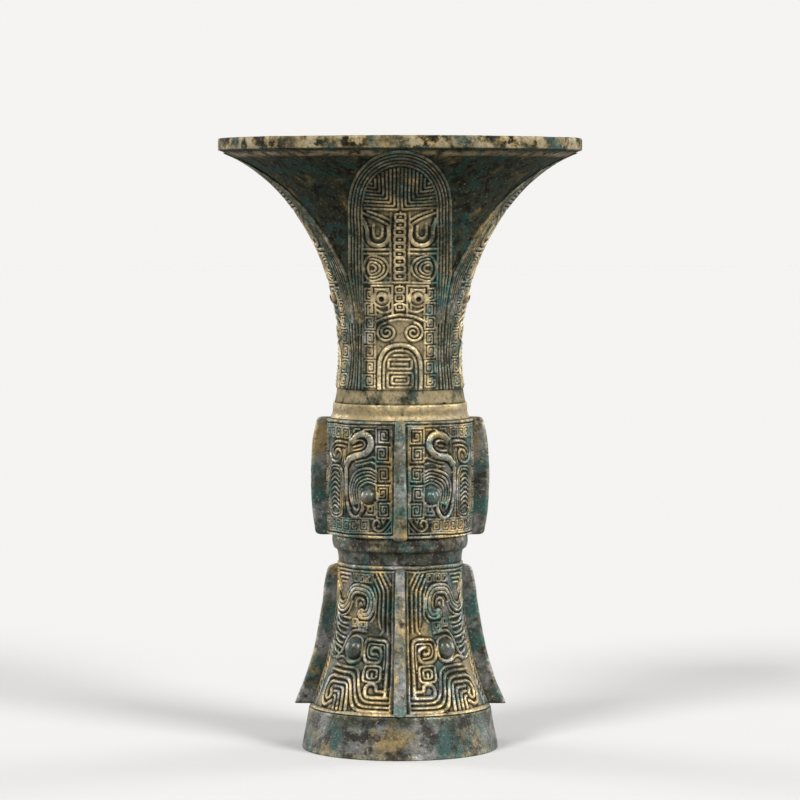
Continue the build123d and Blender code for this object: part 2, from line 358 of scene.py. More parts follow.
def rounded(points, parts=6):
    # smooth curve through a few points
    p = np.array(points, float)
    p = np.vstack([2 * p[0] - p[1], p, 2 * p[-1] - p[-2]])
    out = []
    for k in range(1, len(p) - 2):
        a, b, c, d = p[k - 1 : k + 3]
        square, cube = 2 * a - 5 * b + 4 * c - d, 3 * b - a - 3 * c + d
        for t in np.arange(parts) / parts:
            out.append(0.5 * (2 * b + (c - a) * t + square * t**2 + cube * t**3))
    return np.array(out + [p[-2]])


def bend(first, middle, last, parts):
    # points from first to last on a curve that leans towards middle
    shares = np.linspace(0, 1, parts + 1)
    return [(1 - t) ** 2 * first + 2 * t * (1 - t) * middle + t * t * last for t in shares]


def squared(points, corner, unit):
    # straight runs with rounded corners; corner is in mm
    p = np.array(points, float) * [unit, 1]
    out = [p[0]]
    for k in range(1, len(p) - 1):
        back, ahead = p[k - 1] - p[k], p[k + 1] - p[k]
        start = p[k] + back * min(0.48, corner / np.hypot(*back))
        end = p[k] + ahead * min(0.48, corner / np.hypot(*ahead))
        out += bend(start, p[k], end, 4)
    return np.array(out + [p[-1]]) / [unit, 1]


def beside(points, offset, unit):
    # the same path moved sideways by offset mm
    p = np.array(points, float) * [unit, 1]
    run = np.gradient(p, axis=0)
    run /= np.maximum(np.hypot(run[:, 0], run[:, 1]), 1e-9)[:, None]
    return (p + offset * np.stack([-run[:, 1], run[:, 0]], -1)) / [unit, 1]


def squareSpiral(center, w, h, pitch, turn, unit):
    # rectangular thunder spiral that winds inwards from w mm beside and h mm above its center;
    # turn mirrors it
    points = [(-w, -h), (-w, h), (w, h), (w, -h)]
    inner = 1
    while min(w, h) - (inner - 0.5) * pitch > 0.15:
        w2, h2 = max(w - inner * pitch, 0), max(h - inner * pitch, 0)
        points += [(-w2, -h + (inner - 1) * pitch), (-w2, h2), (w2, h2), (w2, -h2)]
        inner += 1
    return [(center[0] + x * turn[0] / unit, center[1] + y * turn[1]) for x, y in points]


def spiralRow(relief, first, step, count, w, h, pitch, turn, flip, half, height):
    # thunder spirals at even steps, each turned over against the one before where flip is -1
    for number in range(count):
        center = [start + move * number for start, move in zip(first, step)]
        way = [side * over**number for side, over in zip(turn, flip)]
        press(relief, squareSpiral(center, w, h, pitch, way, relief["unit"]), half, height)


def curl(center, outer, inner, fromAngle, sweep, unit=1.0):
    # round spiral from its outer end inwards; angles in degrees
    t = np.linspace(0, 1, max(8, int(abs(sweep) / 15)))
    angle = np.radians(fromAngle + sweep * t)
    radius = outer + (inner - outer) * t
    return np.stack([center[0] + radius * np.cos(angle) / unit, center[1] + radius * np.sin(angle)], -1)


# Short calls for the nodes of a material or of the world

def feed(tree, socket, value):
    # value is the output of another node, a color or a number
    if isinstance(value, bpy.types.NodeSocket):
        tree.links.new(value, socket)
    elif isinstance(value, tuple):
        socket.default_value = (*value, 1)
    else:
        socket.default_value = value


def mixColor(tree, factor, first, second, blend="MIX"):
    node = tree.nodes.new("ShaderNodeMix")
    node.data_type = "RGBA"
    node.blend_type = blend
    for place, value in ((0, factor), (6, first), (7, second)):
        feed(tree, node.inputs[place], value)
    return node.outputs[2]


def mathNode(tree, operation, *values, clamp=False):
    node = tree.nodes.new("ShaderNodeMath")
    node.operation = operation
    node.use_clamp = clamp
    for socket, value in zip(node.inputs, values):
        feed(tree, socket, value)
    return node.outputs[0]


def ramp(tree, value, low, high):
    # smooth step from 0 at low to 1 at high
    node = tree.nodes.new("ShaderNodeMapRange")
    node.interpolation_type = "SMOOTHSTEP"
    for name, given in (("Value", value), ("From Min", low), ("From Max", high)):
        feed(tree, node.inputs[name], given)
    return node.outputs[0]


def noiseNode(tree, place, size, detail, offset, rough=0.55, stretch=1.0):
    # size in mm; offset picks another stretch of the same noise; stretch above 1 draws it out upwards
    move = tree.nodes.new("ShaderNodeMapping")
    tree.links.new(place, move.inputs["Vector"])
    move.inputs["Location"].default_value = (offset, offset * 0.7, -offset)
    move.inputs["Scale"].default_value = (1, 1, 1 / stretch)
    node = tree.nodes.new("ShaderNodeTexNoise")
    tree.links.new(move.outputs[0], node.inputs["Vector"])
    for name, given in (("Scale", 1 / (size * mm)), ("Detail", detail), ("Roughness", rough)):
        feed(tree, node.inputs[name], given)
    return node.outputs["Fac"]


def attributeNode(tree, label):
    node = tree.nodes.new("ShaderNodeAttribute")
    node.attribute_name = label
    return node.outputs["Fac"]


# Patina: one recipe, mixed differently for each surface

patinaLook = {
    "colors": {
        "dark": (0.012, 0.010, 0.006),  # soot brown of dark patches and specks, and of the dirt and painted shade in the recesses
        "green": (0.034, 0.038, 0.024),  # olive green ground
        "teal": (0.020, 0.050, 0.043),  # blue green bloom
        "ochre": (0.255, 0.186, 0.078),  # earthy tan
        "grey": (0.146, 0.144, 0.136),  # cool grey metal
        "cream": (0.570, 0.490, 0.325),  # rubbed ridges, and painted glints
    },
    "shades": {  # darkest and palest shade of each use of a color
        "green": (0.35, 1.9),
        "grey": (0.3, 1.6),
        "teal": (0.3, 2.1),
        "ochre": (0.3, 1.3),
        "paleTan": (0.25, 0.75),
        "ridges": (0.25, 0.85),
        "lip": (0.2, 0.85),
    },
    "noises": {  # size in mm, detail, place in the noise and roughness
        "green": (1.4, 5, 3.1),
        "fine": (1.4, 3, 5.5),
        "speck": (0.7, 2, 7.7),
        "worn": (3.5, 4, 9.1),
        "warmth": (4.0, 4, 15.2),
        "blotch": (3.4, 6, 12.3, 0.66),
        "grain": (1.8, 5, 6.4),
    },
    "steps": {  # where an effect of a noise or of a depth begins and is full
        "worn": (0.26, 0.66),
        "nicks": (0.36, 0.56),
        "warmth": (0.38, 0.58),
        "dirtAndShade": (0.015, 0.13),  # mm below the surroundings
        "soil": (0.42, 0.54),
        "pale": (0.48, 0.60),
        "freckle": (0.30, 0.40),
        "paintedGlint": (0.62, 0.72),
    },
    "patchSize": 6.5,  # mm
    "patchNoise": (6, 0.62),  # detail and roughness
    "patches": {  # size against the patch size, place in the noise, soft edge, stretch upwards
        "grey": (0.9, 1.73, 0.08, 1.0),
        "teal": (1.0, 2.97, 0.06, 1.2),
        "ochre": (1.3, 0.31, 0.08, 1.4),
        "dark": (0.45, 4.21, 0.07, 1.0),
    },
    "coverLevel": (0.72, 0.42),  # level of the noise for no cover, and its fall to full cover
    "tanRim": (1.15, 0.85),  # where the tan begins and is full, in tanHalf
    "wearGain": 1.12,
    "nicks": 0.55,  # share of the wear that fine specks break up
    "bareGain": 3.0,  # rubbed ground against the ground
    "warmth": (0.6, 0.3),
    # strength of the dark dirt and painted shade in the recesses
    "dirtAndShade": 0.93,
    "freckles": 0.6,
    "paintedGlints": 0.30,
    "roughness": {"worn": 0.30, "ridges": -0.25, "dirtAndShade": 0.30},
    "metal": (0.40, 0.4),  # on ridges, and of the shine elsewhere
    # shine left in the dirt and painted shade of the recesses
    "dirtAndShadeShine": 0.02,
    "bump": (0.85, 0.00019, 1.6),  # strength, metres, and coarse grain against fine
}


def makePatina(name, teal, ochre, grey, dark, rough, relief, grain=1.0, shine=0.26, spread=1.0,
               tanBand=None, tanHalf=None, paleBand=None):
    # teal to dark: how much of the surface they cover, 0 to 1; relief: how far ridges are rubbed
    # tanBand and paleBand: (height without, height with, strength) in mm, where it turns tan or pale
    # tanHalf: the tan stays within so many mm of the planes through the middles of the sides
    look, colors = patinaLook, patinaLook["colors"]
    material = bpy.data.materials.new(name)
    material.use_nodes = True
    tree = material.node_tree
    mix, calc = functools.partial(mixColor, tree), functools.partial(mathNode, tree)
    shader = tree.nodes["Principled BSDF"]
    place = tree.nodes.new("ShaderNodeTexCoord").outputs["Object"]
    split = tree.nodes.new("ShaderNodeSeparateXYZ")
    tree.links.new(place, split.inputs[0])
    ridge, hollow = attributeNode(tree, "ridge"), attributeNode(tree, "hollow")

    def noise(kind):
        return noiseNode(tree, place, *look["noises"][kind])

    def step(value, kind):
        return ramp(tree, value, *look["steps"][kind])

    def byHeight(band):
        return calc("MULTIPLY", ramp(tree, split.outputs["Z"], band[0] * mm, band[1] * mm), band[2])

    fine, speck, worn = noise("fine"), noise("speck"), noise("worn")

    def tinted(color, use, factor=fine):
        # the color between its darkest and its palest shade
        return mix(factor, *(tuple(shade * c for c in colors[color]) for shade in look["shades"][use]))

    def lay(color, kind, share, tint, extra=None):
        # patches of tint where a noise passes the level that gives about the share
        size, offset, soften, stretch = look["patches"][kind]
        detail, patchRough = look["patchNoise"]
        cover = noiseNode(tree, place, look["patchSize"] * spread * size, detail, offset, patchRough, stretch)
        if extra is not None:
            cover = calc("ADD", cover, extra)
        level = look["coverLevel"][0] - look["coverLevel"][1] * share
        return mix(ramp(tree, cover, level - soften, level + soften), color, tint)

    tan, more, less = tinted("ochre", "ochre"), None, None
    if tanBand:
        more = byHeight(tanBand)
        if tanHalf:
            offPlane = calc("MINIMUM", *(calc("ABSOLUTE", split.outputs[axis]) for axis in "XY"))
            within = ramp(tree, offPlane, *(tanHalf * rim * mm for rim in look["tanRim"]))
            more = calc("MULTIPLY", more, within)
        less = calc("MULTIPLY", more, -0.35)
        tan = mix(calc("MULTIPLY", more, 2.2, clamp=True), tan, tinted("cream", "paleTan"))
    color = tinted("green", "green", noise("green"))
    color = lay(color, "grey", grey, tinted("grey", "grey"))
    color = lay(color, "teal", teal, tinted("teal", "teal"))
    color = lay(color, "ochre", ochre, tan, more)
    color = lay(color, "dark", dark, colors["dark"], less)

    # raised lines are rubbed pale, recesses hold dark dirt and painted shade
    wear = calc("MULTIPLY", ridge, step(worn, "worn"))
    wear = calc("MULTIPLY", wear, relief * look["wearGain"])
    nicked = calc("MULTIPLY_ADD", step(speck, "nicks"), look["nicks"], 1 - look["nicks"])
    wear = calc("MULTIPLY", wear, nicked, clamp=True)
    bare = mix(1.0, color, (look["bareGain"],) * 3, "MULTIPLY")
    bareShare = calc("MULTIPLY_ADD", step(noise("warmth"), "warmth"), *look["warmth"])
    color = mix(wear, color, mix(bareShare, tinted("cream", "ridges"), bare))
    # dark dirt and painted shade where the surface lies below its surroundings
    dirtAndShade = calc("MULTIPLY", step(hollow, "dirtAndShade"), look["dirtAndShade"])
    color = mix(dirtAndShade, color, colors["dark"])
    if paleBand:
        blotch = noise("blotch")
        rubbed = calc("MULTIPLY", byHeight(paleBand), ridge)
        color = mix(rubbed, color, mix(step(blotch, "soil"), colors["dark"], colors["ochre"]))
        pale = calc("MULTIPLY", rubbed, step(blotch, "pale"), clamp=True)
        color = mix(pale, color, tinted("cream", "lip"))
    freckle = calc("SUBTRACT", 1.0, step(speck, "freckle"))
    color = mix(calc("MULTIPLY", freckle, look["freckles"] * grain), color, colors["dark"])
    # pale cream specks: painted glints
    paintedGlint = calc("MULTIPLY", step(speck, "paintedGlint"), look["paintedGlints"] * grain)
    color = mix(paintedGlint, color, colors["cream"])

    # dirt and painted shade in the recesses: rougher, and with its shine taken down as painted shade
    gains = look["roughness"]
    roughness = calc("MULTIPLY_ADD", worn, gains["worn"], rough)
    roughness = calc("MULTIPLY_ADD", wear, gains["ridges"], roughness)
    roughness = calc("MULTIPLY_ADD", dirtAndShade, gains["dirtAndShade"], roughness, clamp=True)
    metal = calc("MULTIPLY_ADD", wear, look["metal"][0], look["metal"][1] * shine, clamp=True)
    gloss = calc("MULTIPLY_ADD", dirtAndShade, look["dirtAndShadeShine"] - shine, shine, clamp=True)
    bump = tree.nodes.new("ShaderNodeBump")
    strength, depth, coarse = look["bump"]
    feed(tree, bump.inputs["Strength"], strength)
    feed(tree, bump.inputs["Distance"], depth * grain)
    feed(tree, bump.inputs["Height"], calc("MULTIPLY_ADD", noise("grain"), coarse, speck))
    for socket, value in (("Base Color", color), ("Roughness", roughness), ("Metallic", metal),
                          ("Specular IOR Level", gloss), ("Normal", bump.outputs[0])):
        feed(tree, shader.inputs[socket], value)
    return material


bronzes = {
    # flare: a dark mix, partly its own patina and partly painted shade for its downward-facing side
    "flareShadedBronze": {"teal": 0.44, "ochre": 0.20, "grey": 0.06, "dark": 0.42, "rough": 0.62, "relief": 1.0,
                    "shine": 0.06, "tanBand": (103, 99.5, 0.22), "paleBand": (164, 165, 1)},
    "carvedBronze": {"teal": 0.42, "ochre": 0.40, "grey": 0.42, "dark": 0.32, "rough": 0.42, "relief": 1.3},
    "maskBronze": {"teal": 0.42, "ochre": 0.40, "grey": 0.46, "dark": 0.26, "rough": 0.42, "relief": 1.25,
                   "tanBand": (34, 15, 0.08)},
    "leafBronze": {"teal": 0.40, "ochre": 0.20, "grey": 0.28, "dark": 0.30, "rough": 0.46, "relief": 1.35,
                   "shine": 0.18, "tanBand": (158, 146, 0.20), "tanHalf": 8.6},
    "bandBronze": {"teal": 0.12, "ochre": 0.80, "grey": 0.50, "dark": 0.26, "rough": 0.46, "relief": 0.9,
                   "grain": 0.7, "tanBand": (90, 92, 0.10)},
    "flangeBronze": {"teal": 0.46, "ochre": 0.26, "grey": 0.56, "dark": 0.30, "rough": 0.38, "relief": 0.9,
                     "spread": 1.3},
    # waist: a darker mix, partly its own dark purple-brown and partly painted shade under the knop
    "waistShadedBronze": {"teal": 0.40, "ochre": 0.24, "grey": 0.36, "dark": 0.52, "rough": 0.38, "relief": 0.9},
    "footBronze": {"teal": 0.52, "ochre": 0.28, "grey": 0.54, "dark": 0.46, "rough": 0.34, "relief": 0.9,
                   "spread": 1.6},
    "eyeBronze": {"teal": 0.50, "ochre": 0.12, "grey": 0.34, "dark": 0.36, "rough": 0.16, "relief": 0.35,
                  "grain": 0.5, "shine": 0.5},
}
bronze = {name: makePatina(name, **recipe) for name, recipe in bronzes.items()}
print("stage: patinas mixed")


# Turned pieces: trumpet, collar, waist, foot ring and cup floor

latheLook = {
    "columns": 440,  # points round the vessel
    "spacing": 0.55,  # mm between points along a wall
    "swell": 0.10,  # mm of slow unevenness
    "swellCell": 14,
    "pitting": 0.035,  # mm of fine pitting
    "pittingCell": 1.3,
    "sink": 0.02,  # mm that every surface stays inside the solids
    "wornCell": 6,
    "wornCore": 1.4,  # wear is full within 0.4 of its reach and ends at 1.4 of it
    "wornShare": (0.8, 0.9, 0.2),  # share of the wear in the mean, its swing and the least
}
trumpetLook = {
    "columns": 460,
    "swell": 0.12,
    "seed": 11,
    "spacing": (0.8, 1.0),  # mm between points outside and inside
    "lipUnderside": (0.05, 0.25),  # mm in from the edge of the lip and up from its underside
    "lipSide": (0.8, 0.45, 5),  # mm up from the underside, step and count
    "lipTop": ((0.12, 0.28), (0.42, 0.04), (0.9, 0)),  # mm in from the edge and down from the rim
    "spigot": {"radius": 16.5, "step": 94.0, "foot": 91.2, "shoulder": 0.1},
    "worn": (169.6, 168.6, 167.6),  # heights on the edge of the lip
    "wornReach": 1.0,
}
turnedLook = {  # outlines as (radius, height) in mm
    "neck_collar": {
        "piece": "neck_collar_ring",
        "bronze": "bandBronze",
        "outline": [(16.5, 92.45), (16.5, 96.8), (18.25, 96.8), (18.6, 96.65), (18.75, 96.3), (18.75, 94.6),
                    (18.8, 94), (19.05, 93.2), (19.65, 92.45)],
        "corner": 0.3,
        "seed": 21,
        "worn": [(18.7, 96.2), (19.3, 93)],
    },
    "waist_ring": {
        "piece": "waist_ring_bead",
        "bronze": "waistShadedBronze",
        "outline": [(14.2, 51.2), (16.1, 51.2), (16.1, 52.4), (17.2, 52.4), (17.3, 54.2), (17.6, 55.6),
                    (18.5, 56.2), (18.85, 57), (19, 58.1), (18.95, 59.2), (18.7, 60), (16, 60), (16, 61.2),
                    (14.2, 61.2)],
        "corner": 0.3,
        "seed": 31,
        "worn": [(18.9, 57.2), (18.9, 59.4)],
    },
    "foot_ring": {
        "piece": "foot_ring_band",
        "bronze": "footBronze",
        "outline": [(24.9, 0), (27.5, 0), (27.05, 2.6), (26.2, 6.9), (25.6, 10.4), (25.5, 11.6), (22.3, 11.6),
                    (22, 12.4), (21.4, 12.4)],
        "corner": 0.5,
        "seed": 41,
        "worn": [(27.4, 0.6), (25.6, 11.4)],
    },
}
turnedWornReach = 0.8  # mm
cupFloorLook = {
    "columns": 72,
    "outline": [(0.6, 61.2), (8, 61.2), (15.9, 61.2), (16, 61.3), (16, 62.5), (15.9, 62.6), (12, 62.55),
                (8, 62.5), (4, 62.45), (0.6, 62.45)],  # domed a little by wear
}


def dense(corners, spacing):
    # points along a closed outline, evenly spaced on each side, corners kept
    out = []
    for start, end in zip(corners, corners[1:] + corners[:1]):
        steps = max(1, int(np.hypot(*(end - start)) / spacing))
        out += [start + (end - start) * k / steps for k in range(steps)]
    return np.array(out)


def softCorners(profile, radius, spacing):
    # rounds the corners of a closed outline of (radius, height) pairs
    p = np.array(profile, float)
    out = []
    for before, here, after in zip(np.roll(p, 1, axis=0), p, np.roll(p, -1, axis=0)):
        back, ahead = before - here, after - here
        length1, length2 = np.hypot(*back), np.hypot(*ahead)
        cut = min(radius, 0.45 * length1, 0.45 * length2)
        out += bend(here + back / length1 * cut, here, here + ahead / length2 * cut, 4)
    return dense(out, spacing)


def turned(name, profile, material, seed, worn, reach, columns, swell, keepFoot=False):
    # a closed outline swept round the axis, with the unevenness of a casting;
    # worn holds the (radius, height) places that are rubbed within reach mm
    look = latheLook
    azimuth = np.arange(columns) * 360 / columns
    radius, height = profile[:, 0][:, None], profile[:, 1][:, None]
    points = around(radius, azimuth[None, :], height)
    pitting = roughNoise(points, look["pittingCell"], seed + 7, 3) * look["pitting"]
    uneven = roughNoise(points, look["swellCell"], seed, 2) * swell + pitting
    run = np.roll(profile, -1, axis=0) - np.roll(profile, 1, axis=0)
    normal = np.stack([run[:, 1], -run[:, 0]], -1)
    normal /= np.maximum(np.hypot(*normal.T), 1e-9)[:, None]
    area = np.sum(profile[:, 0] * np.roll(profile[:, 1], -1) - np.roll(profile[:, 0], -1) * profile[:, 1])
    normal *= 1 if area > 0 else -1
    inward = -np.abs(uneven) - look["sink"]
    upright = 0 if keepFoot else inward
    moved = around(radius + normal[:, :1] * inward, azimuth[None, :], height + normal[:, 1:] * upright)
    nearest = np.min([np.hypot(profile[:, 0] - r, profile[:, 1] - z) for r, z in worn], axis=0)
    # rubbed here and there, not evenly
    mean, varied, least = look["wornShare"]
    rubbed = np.clip(mean + varied * smoothNoise(points, look["wornCell"], seed + 3), least, 1)
    ridge = np.clip(look["wornCore"] - nearest / reach, 0, 1)[:, None] * rubbed
    return tubeMesh(name, moved, material, wrapRows=True, ridge=ridge)


def wallHeights(low, high, spacing, radiusAt):
    # heights spaced evenly along a curved wall
    fine = np.linspace(low, high, 400)
    length = np.concatenate([[0], np.cumsum(np.hypot(np.diff(radiusAt(fine)), np.diff(fine)))])
    count = max(2, int(length[-1] / spacing))
    return np.interp(np.linspace(0, length[-1], count), length, fine)


def buildTrumpet():
    look, line = trumpetLook, trumpetLine
    outer = wallHeights(line["seam"], line["lipUnder"], look["spacing"][0], flareRadius)
    inner = wallHeights(line["seam"], line["rim"], look["spacing"][1], boreRadius)[::-1]
    outside = [(float(flareRadius(z)), z) for z in outer]
    inside = [(float(boreRadius(z)), z) for z in inner]
    edge, bore = outside[-1][0], inside[-1][0]
    inset, lift = look["lipUnderside"]
    first, step, count = look["lipSide"]
    lip = [(edge - inset, line["lipUnder"] + lift)]
    lip += [(edge, line["lipUnder"] + first + step * k) for k in range(count)]
    lip += [(edge - inset, line["rim"] - drop) for inset, drop in look["lipTop"]]
    radius, step, foot, shoulder = look["spigot"].values()
    spigot = [(bore, step), (bore, foot), (radius, foot), (radius, step), (radius, line["seam"] - shoulder)]
    profile = np.array(outside + lip + inside[1:] + spigot)
    # rubbed pale along the edge of the lip; the pale dashes just under the lip are partly wear and partly a
    # painted highlight where the lip's edge catches the light
    worn = [(edge, z) for z in look["worn"]] + [outside[-5], outside[-6]]
    piece = turned("trumpet_wall", profile, bronze["flareShadedBronze"], look["seed"], worn, look["wornReach"],
                   look["columns"], look["swell"])
    settle(piece, "plain_bronze", "trumpet")


def buildTurned():
    for node, look in turnedLook.items():
        outline = softCorners(look["outline"], look["corner"], latheLook["spacing"])
        piece = turned(look["piece"], outline, bronze[look["bronze"]], look["seed"], look["worn"],
                       turnedWornReach, latheLook["columns"], latheLook["swell"], node == "foot_ring")
        settle(piece, "plain_bronze", node)


def buildCupFloor():
    radius, height = (np.array(values)[:, None] for values in zip(*cupFloorLook["outline"]))
    azimuth = np.arange(cupFloorLook["columns"])[None, :] * 360 / cupFloorLook["columns"]
    disc = around(radius, azimuth, height)
    settle(tubeMesh("cup_floor_disc", disc, bronze["flareShadedBronze"]), "plain_bronze", "cup_floor")


buildTrumpet()
buildTurned()
buildCupFloor()
print("stage: turned pieces made")


# Knop: four quarter drums, each with one phoenix; the seams lie under the flanges

knopLook = {
    "piece": "knop_quarter",
    "nodes": ("knop_drum", "knop_bird"),
    "bronze": "carvedBronze",
    "seed": 100,
    "radius": 20.6,
    "barrel": (0.28, -0.05),  # mm that the wall bulges, and mm that it lies in at its ends
    "low": 60.0,
    "high": 92.4,
    "margin": 0.3,  # mm of the wall above and below the carving
    "ground": -0.42,  # mm from the nominal radius to the sunk ground
    "lineHeight": 0.40,
    "step": 0.10,  # mm between samples of the relief
    "columns": 224,
    "rowSpacing": 0.15,
    "waver": 0.24,  # mm
    "inside": [(19.9, 92.35), (18.9, 92.4), (17.6, 92.4), (16.5, 92.4), (16.5, 91.3), (14.85, 91.2),
               (14.85, 89.8), (18, 89.8), (18, 82), (18, 72), (18, 62.6), (16, 62.6), (16, 60), (17.6, 60),
               (18.9, 60), (19.9, 60.05)],  # from the top down, as (radius, height)
}


def knopStrokes():
    # one quarter; points are (degrees from the front flange, height in mm)
    unit = knopLook["radius"] * math.pi / 180
    relief = newMap((-1, knopLook["low"]), (91, knopLook["high"]), knopLook["step"], unit)
    draw, flow, fold = carver(relief, knopLook["lineHeight"])

    # border lines
    draw([(-1, 91.9), (91, 91.9)], 0.3)
    draw([(5.5, 90.95), (86, 90.95)], 0.17)
    draw([(-1, 60.4), (91, 60.4)], 0.45)
    draw([(6, 61.5), (86, 61.5)], 0.17)
    draw([(6.4, 61.5), (6.4, 91)], 0.2)

    # column of thunder spirals beside the front flange
    for number, height in enumerate((88.4, 83.2, 78, 72.8, 67.8)):
        turn = (1 if number % 2 else -1, -1 if number in (1, 4) else 1)
        draw(squareSpiral((13.2, height), 1.95, 2, 0.80, turn, unit), 0.19, 0.42)

    # crest of the phoenix, a thick open loop with ridges inside
    flow([(45, 80.4), (41.5, 81.9), (35.5, 82.6), (28.6, 83.2), (24, 84.7), (22.9, 86.5), (25.3, 88.1),
          (30, 88.7), (35.4, 88.2), (39.6, 87)], 0.92, 0.78, "band")
    flow([(38.8, 84.1), (32.5, 84.4), (28.4, 85.3), (29.2, 86.6), (33.5, 87), (39.6, 86)], 0.2, 0.5)
    draw([(30.6, 85.7), (38.6, 85.1)], 0.17, 0.5)
    flow([(41.5, 88.6), (43.4, 86.4), (43.4, 83.6)], 0.2)
    draw([(20.6, 90), (28, 90), (30.5, 89.6)], 0.17)
    draw([(33, 90.1), (38, 90.1), (38.6, 89.4)], 0.17)
    flow([(19.4, 82), (21, 82.4), (27, 81.6), (36, 80.9)], 0.18)
    flow([(19.5, 80.6), (24, 80.9), (31, 80.2), (36.5, 79.9)], 0.18)

    # neck and body run down from the crest and hook in below the eye
    flow([(45, 80.6), (46.2, 78.4), (46, 74.5), (45.2, 70.6), (42.4, 67.3), (37.6, 65.8), (33, 66.3),
          (30.2, 68.2), (30.6, 69.6)], 0.46, 0.58, "band")
    flow([(33.6, 69.7), (33.4, 68.4), (35.4, 67.7), (38.6, 68.6), (40.6, 70.6)], 0.2, 0.44)

    # feather arcs over the eye, drawn closer together towards it
    outer = [(17.8, 78.2), (23, 79.2), (30.5, 78.9), (38.2, 77.5), (42.2, 74.6), (42, 71.4), (39.4, 69.2)]
    drawnIn = [(1.4, -3.2), (1.2, -3.6), (-1.6, -3.9), (-5.4, -3.7), (-8.6, -2.2), (-9, -0.6), (-6.6, 0.8)]
    for t in np.linspace(0, 1, 5):
        flow(np.array(outer) + t * np.array(drawnIn), 0.25, 0.48)
    draw(curl((25, 71.7), 2.75, 2.75, 150, 250, unit), 0.22, 0.42)

    # beak and small hooks between the spirals and the eye
    draw([(20.2, 70.2), (20.2, 66.6), (27.4, 66.6), (24.2, 69.3)], 0.18)
    draw([(22.2, 68.9), (22.2, 67.6), (24.6, 67.6)], 0.15)

    # lobed wing beside the side flange, double bordered, with slanting barbs
    wing = rounded([(51, 66.4), (50, 70), (50, 76), (52.6, 79.1), (59, 79.7), (66.5, 79.2), (70.6, 77),
                    (70.8, 72), (70, 68), (65, 65.7), (57, 65.5), (51, 66.4)])
    draw(wing, 0.27, 0.5)
    draw(beside(wing, -0.85, unit), 0.18, 0.44)
    for k in range(8):
        foot = 67.6 + 1.28 * k
        flow([(54.6, foot), (58.2, foot + 0.9), (62, foot + 1), (66.6, foot + 0.1)], 0.2, 0.44)
    for x in (47.9, 73.3):
        draw([(x, 66), (x, 79.2)], 0.17)

    # hooked comma above the wing
    flow([(45.6, 86.4), (52, 86.6), (59.5, 86.3), (65.6, 85.2), (68.6, 83.3), (66, 81.4), (60, 80.7),
          (54.2, 81.3), (52, 82.9), (54.4, 84.2), (59, 83.9), (60.8, 82.9)], 0.33, 0.56, "band")
    flow([(47, 85.2), (52, 85.4), (58, 85.3), (63.4, 84.5), (65.2, 83.2), (62, 82.1)], 0.18, 0.46)
    flow([(49.6, 84.2), (49.2, 82.3), (50.6, 80.8)], 0.18)
    flow([(47.6, 84), (47.2, 81.8), (48.4, 80.2)], 0.18)

    # small spirals along the top, down the side and along the bottom
    line = knopLook["lineHeight"]
    spiralRow(relief, (47.2, 89), (8.6, 0), 5, 1.3, 1.35, 0.68, (-1, 1), (-1, 1), 0.17, line)
    spiralRow(relief, (79.6, 85.4), (0, -4.3), 5, 1.5, 1.75, 0.72, (-1, -1), (1, -1), 0.18, line)
    spiralRow(relief, (29, 63.5), (8.6, 0), 7, 1.3, 1.4, 0.68, (-1, -1), (-1, 1), 0.17, line)
    draw([(21, 65.5), (86, 65.5)], 0.15, 0.32)
    flow([(6.6, 65.6), (9.6, 64.1), (13.2, 62.6), (17.4, 62.2), (20.8, 63), (21, 64.6), (18.2, 65.2),
          (16.2, 64.2), (17.2, 63.5)], 0.25, 0.48)
    flow([(6.8, 63.7), (9.4, 62.6), (11.5, 61.9)], 0.18)
    flow([(11, 65.9), (13.6, 64.4), (14.6, 65.8)], 0.18)
    return relief


def buildQuarters(look, relief, heights, groundAt):
    # each quarter is a tube round its section, the carved wall and its inside
    relief = finished(relief)
    inside = np.array(look["inside"], float)
    across = np.linspace(0, 90, look["columns"])
    u, z = np.meshgrid(across, heights)
    blank = np.zeros((len(inside), len(across)))
    body, bands = look["nodes"]
    for number, (name, start, way) in enumerate(quarters):
        seed = look["seed"] + 10 * number
        radius, ridge, hollow = carved(relief, groundAt(z), u * relief["unit"], z, seed, look["waver"])
        azimuth = start + way * across
        points = np.concatenate([around(radius, azimuth, z), around(inside[:, :1], azimuth, inside[:, 1:])])
        ridge, hollow = (np.concatenate([layer, blank]) for layer in (ridge, hollow))
        piece = tubeMesh(f"{look['piece']}_{name}", points, bronze[look["bronze"]], wrapRows=True,
                         wrapColumns=False, ridge=ridge, hollow=hollow)
        settle(piece, "carved_bronze", body, f"{bands}_{name}")


def knopGround(height):
    look = knopLook
    bulge, ends = look["barrel"]
    middle, half = (look["high"] + look["low"]) / 2, (look["high"] - look["low"]) / 2
    return look["radius"] + look["ground"] + bulge * (1 - ((height - middle) / half) ** 2) + ends


knopHeights = np.arange(knopLook["low"] + knopLook["margin"], knopLook["high"] - knopLook["margin"],
                        knopLook["rowSpacing"])
buildQuarters(knopLook, knopStrokes(), knopHeights, knopGround)
print("stage: knop carved")


# Spreading foot: four quarters, each with half of a mask on either side of a flange

footLook = {
    "piece": "foot_quarter",
    "nodes": ("foot_skirt", "foot_mask"),
    "bronze": "maskBronze",
    "seed": 200,
    "low": 11.6,
    "high": 52.4,
    "margin": 0.25,
    "middle": 20,  # mm radius for which the carving is laid out
    "ground": -0.28,
    "lineHeight": 0.40,
    "step": 0.10,
    "columns": 210,
    "rowSpacing": 0.19,
    "waver": 0.24,
    "insideSpacing": 2.2,
    "topSeat": [(16.1, 52.4), (16.1, 51.2), (15.2, 51.2)],
    "footSeat": [(21.35, 12.8), (21.35, 11.6)],
    "rims": (0.7, 0.8),  # mm from the carved wall to the flat of the top and of the foot
}


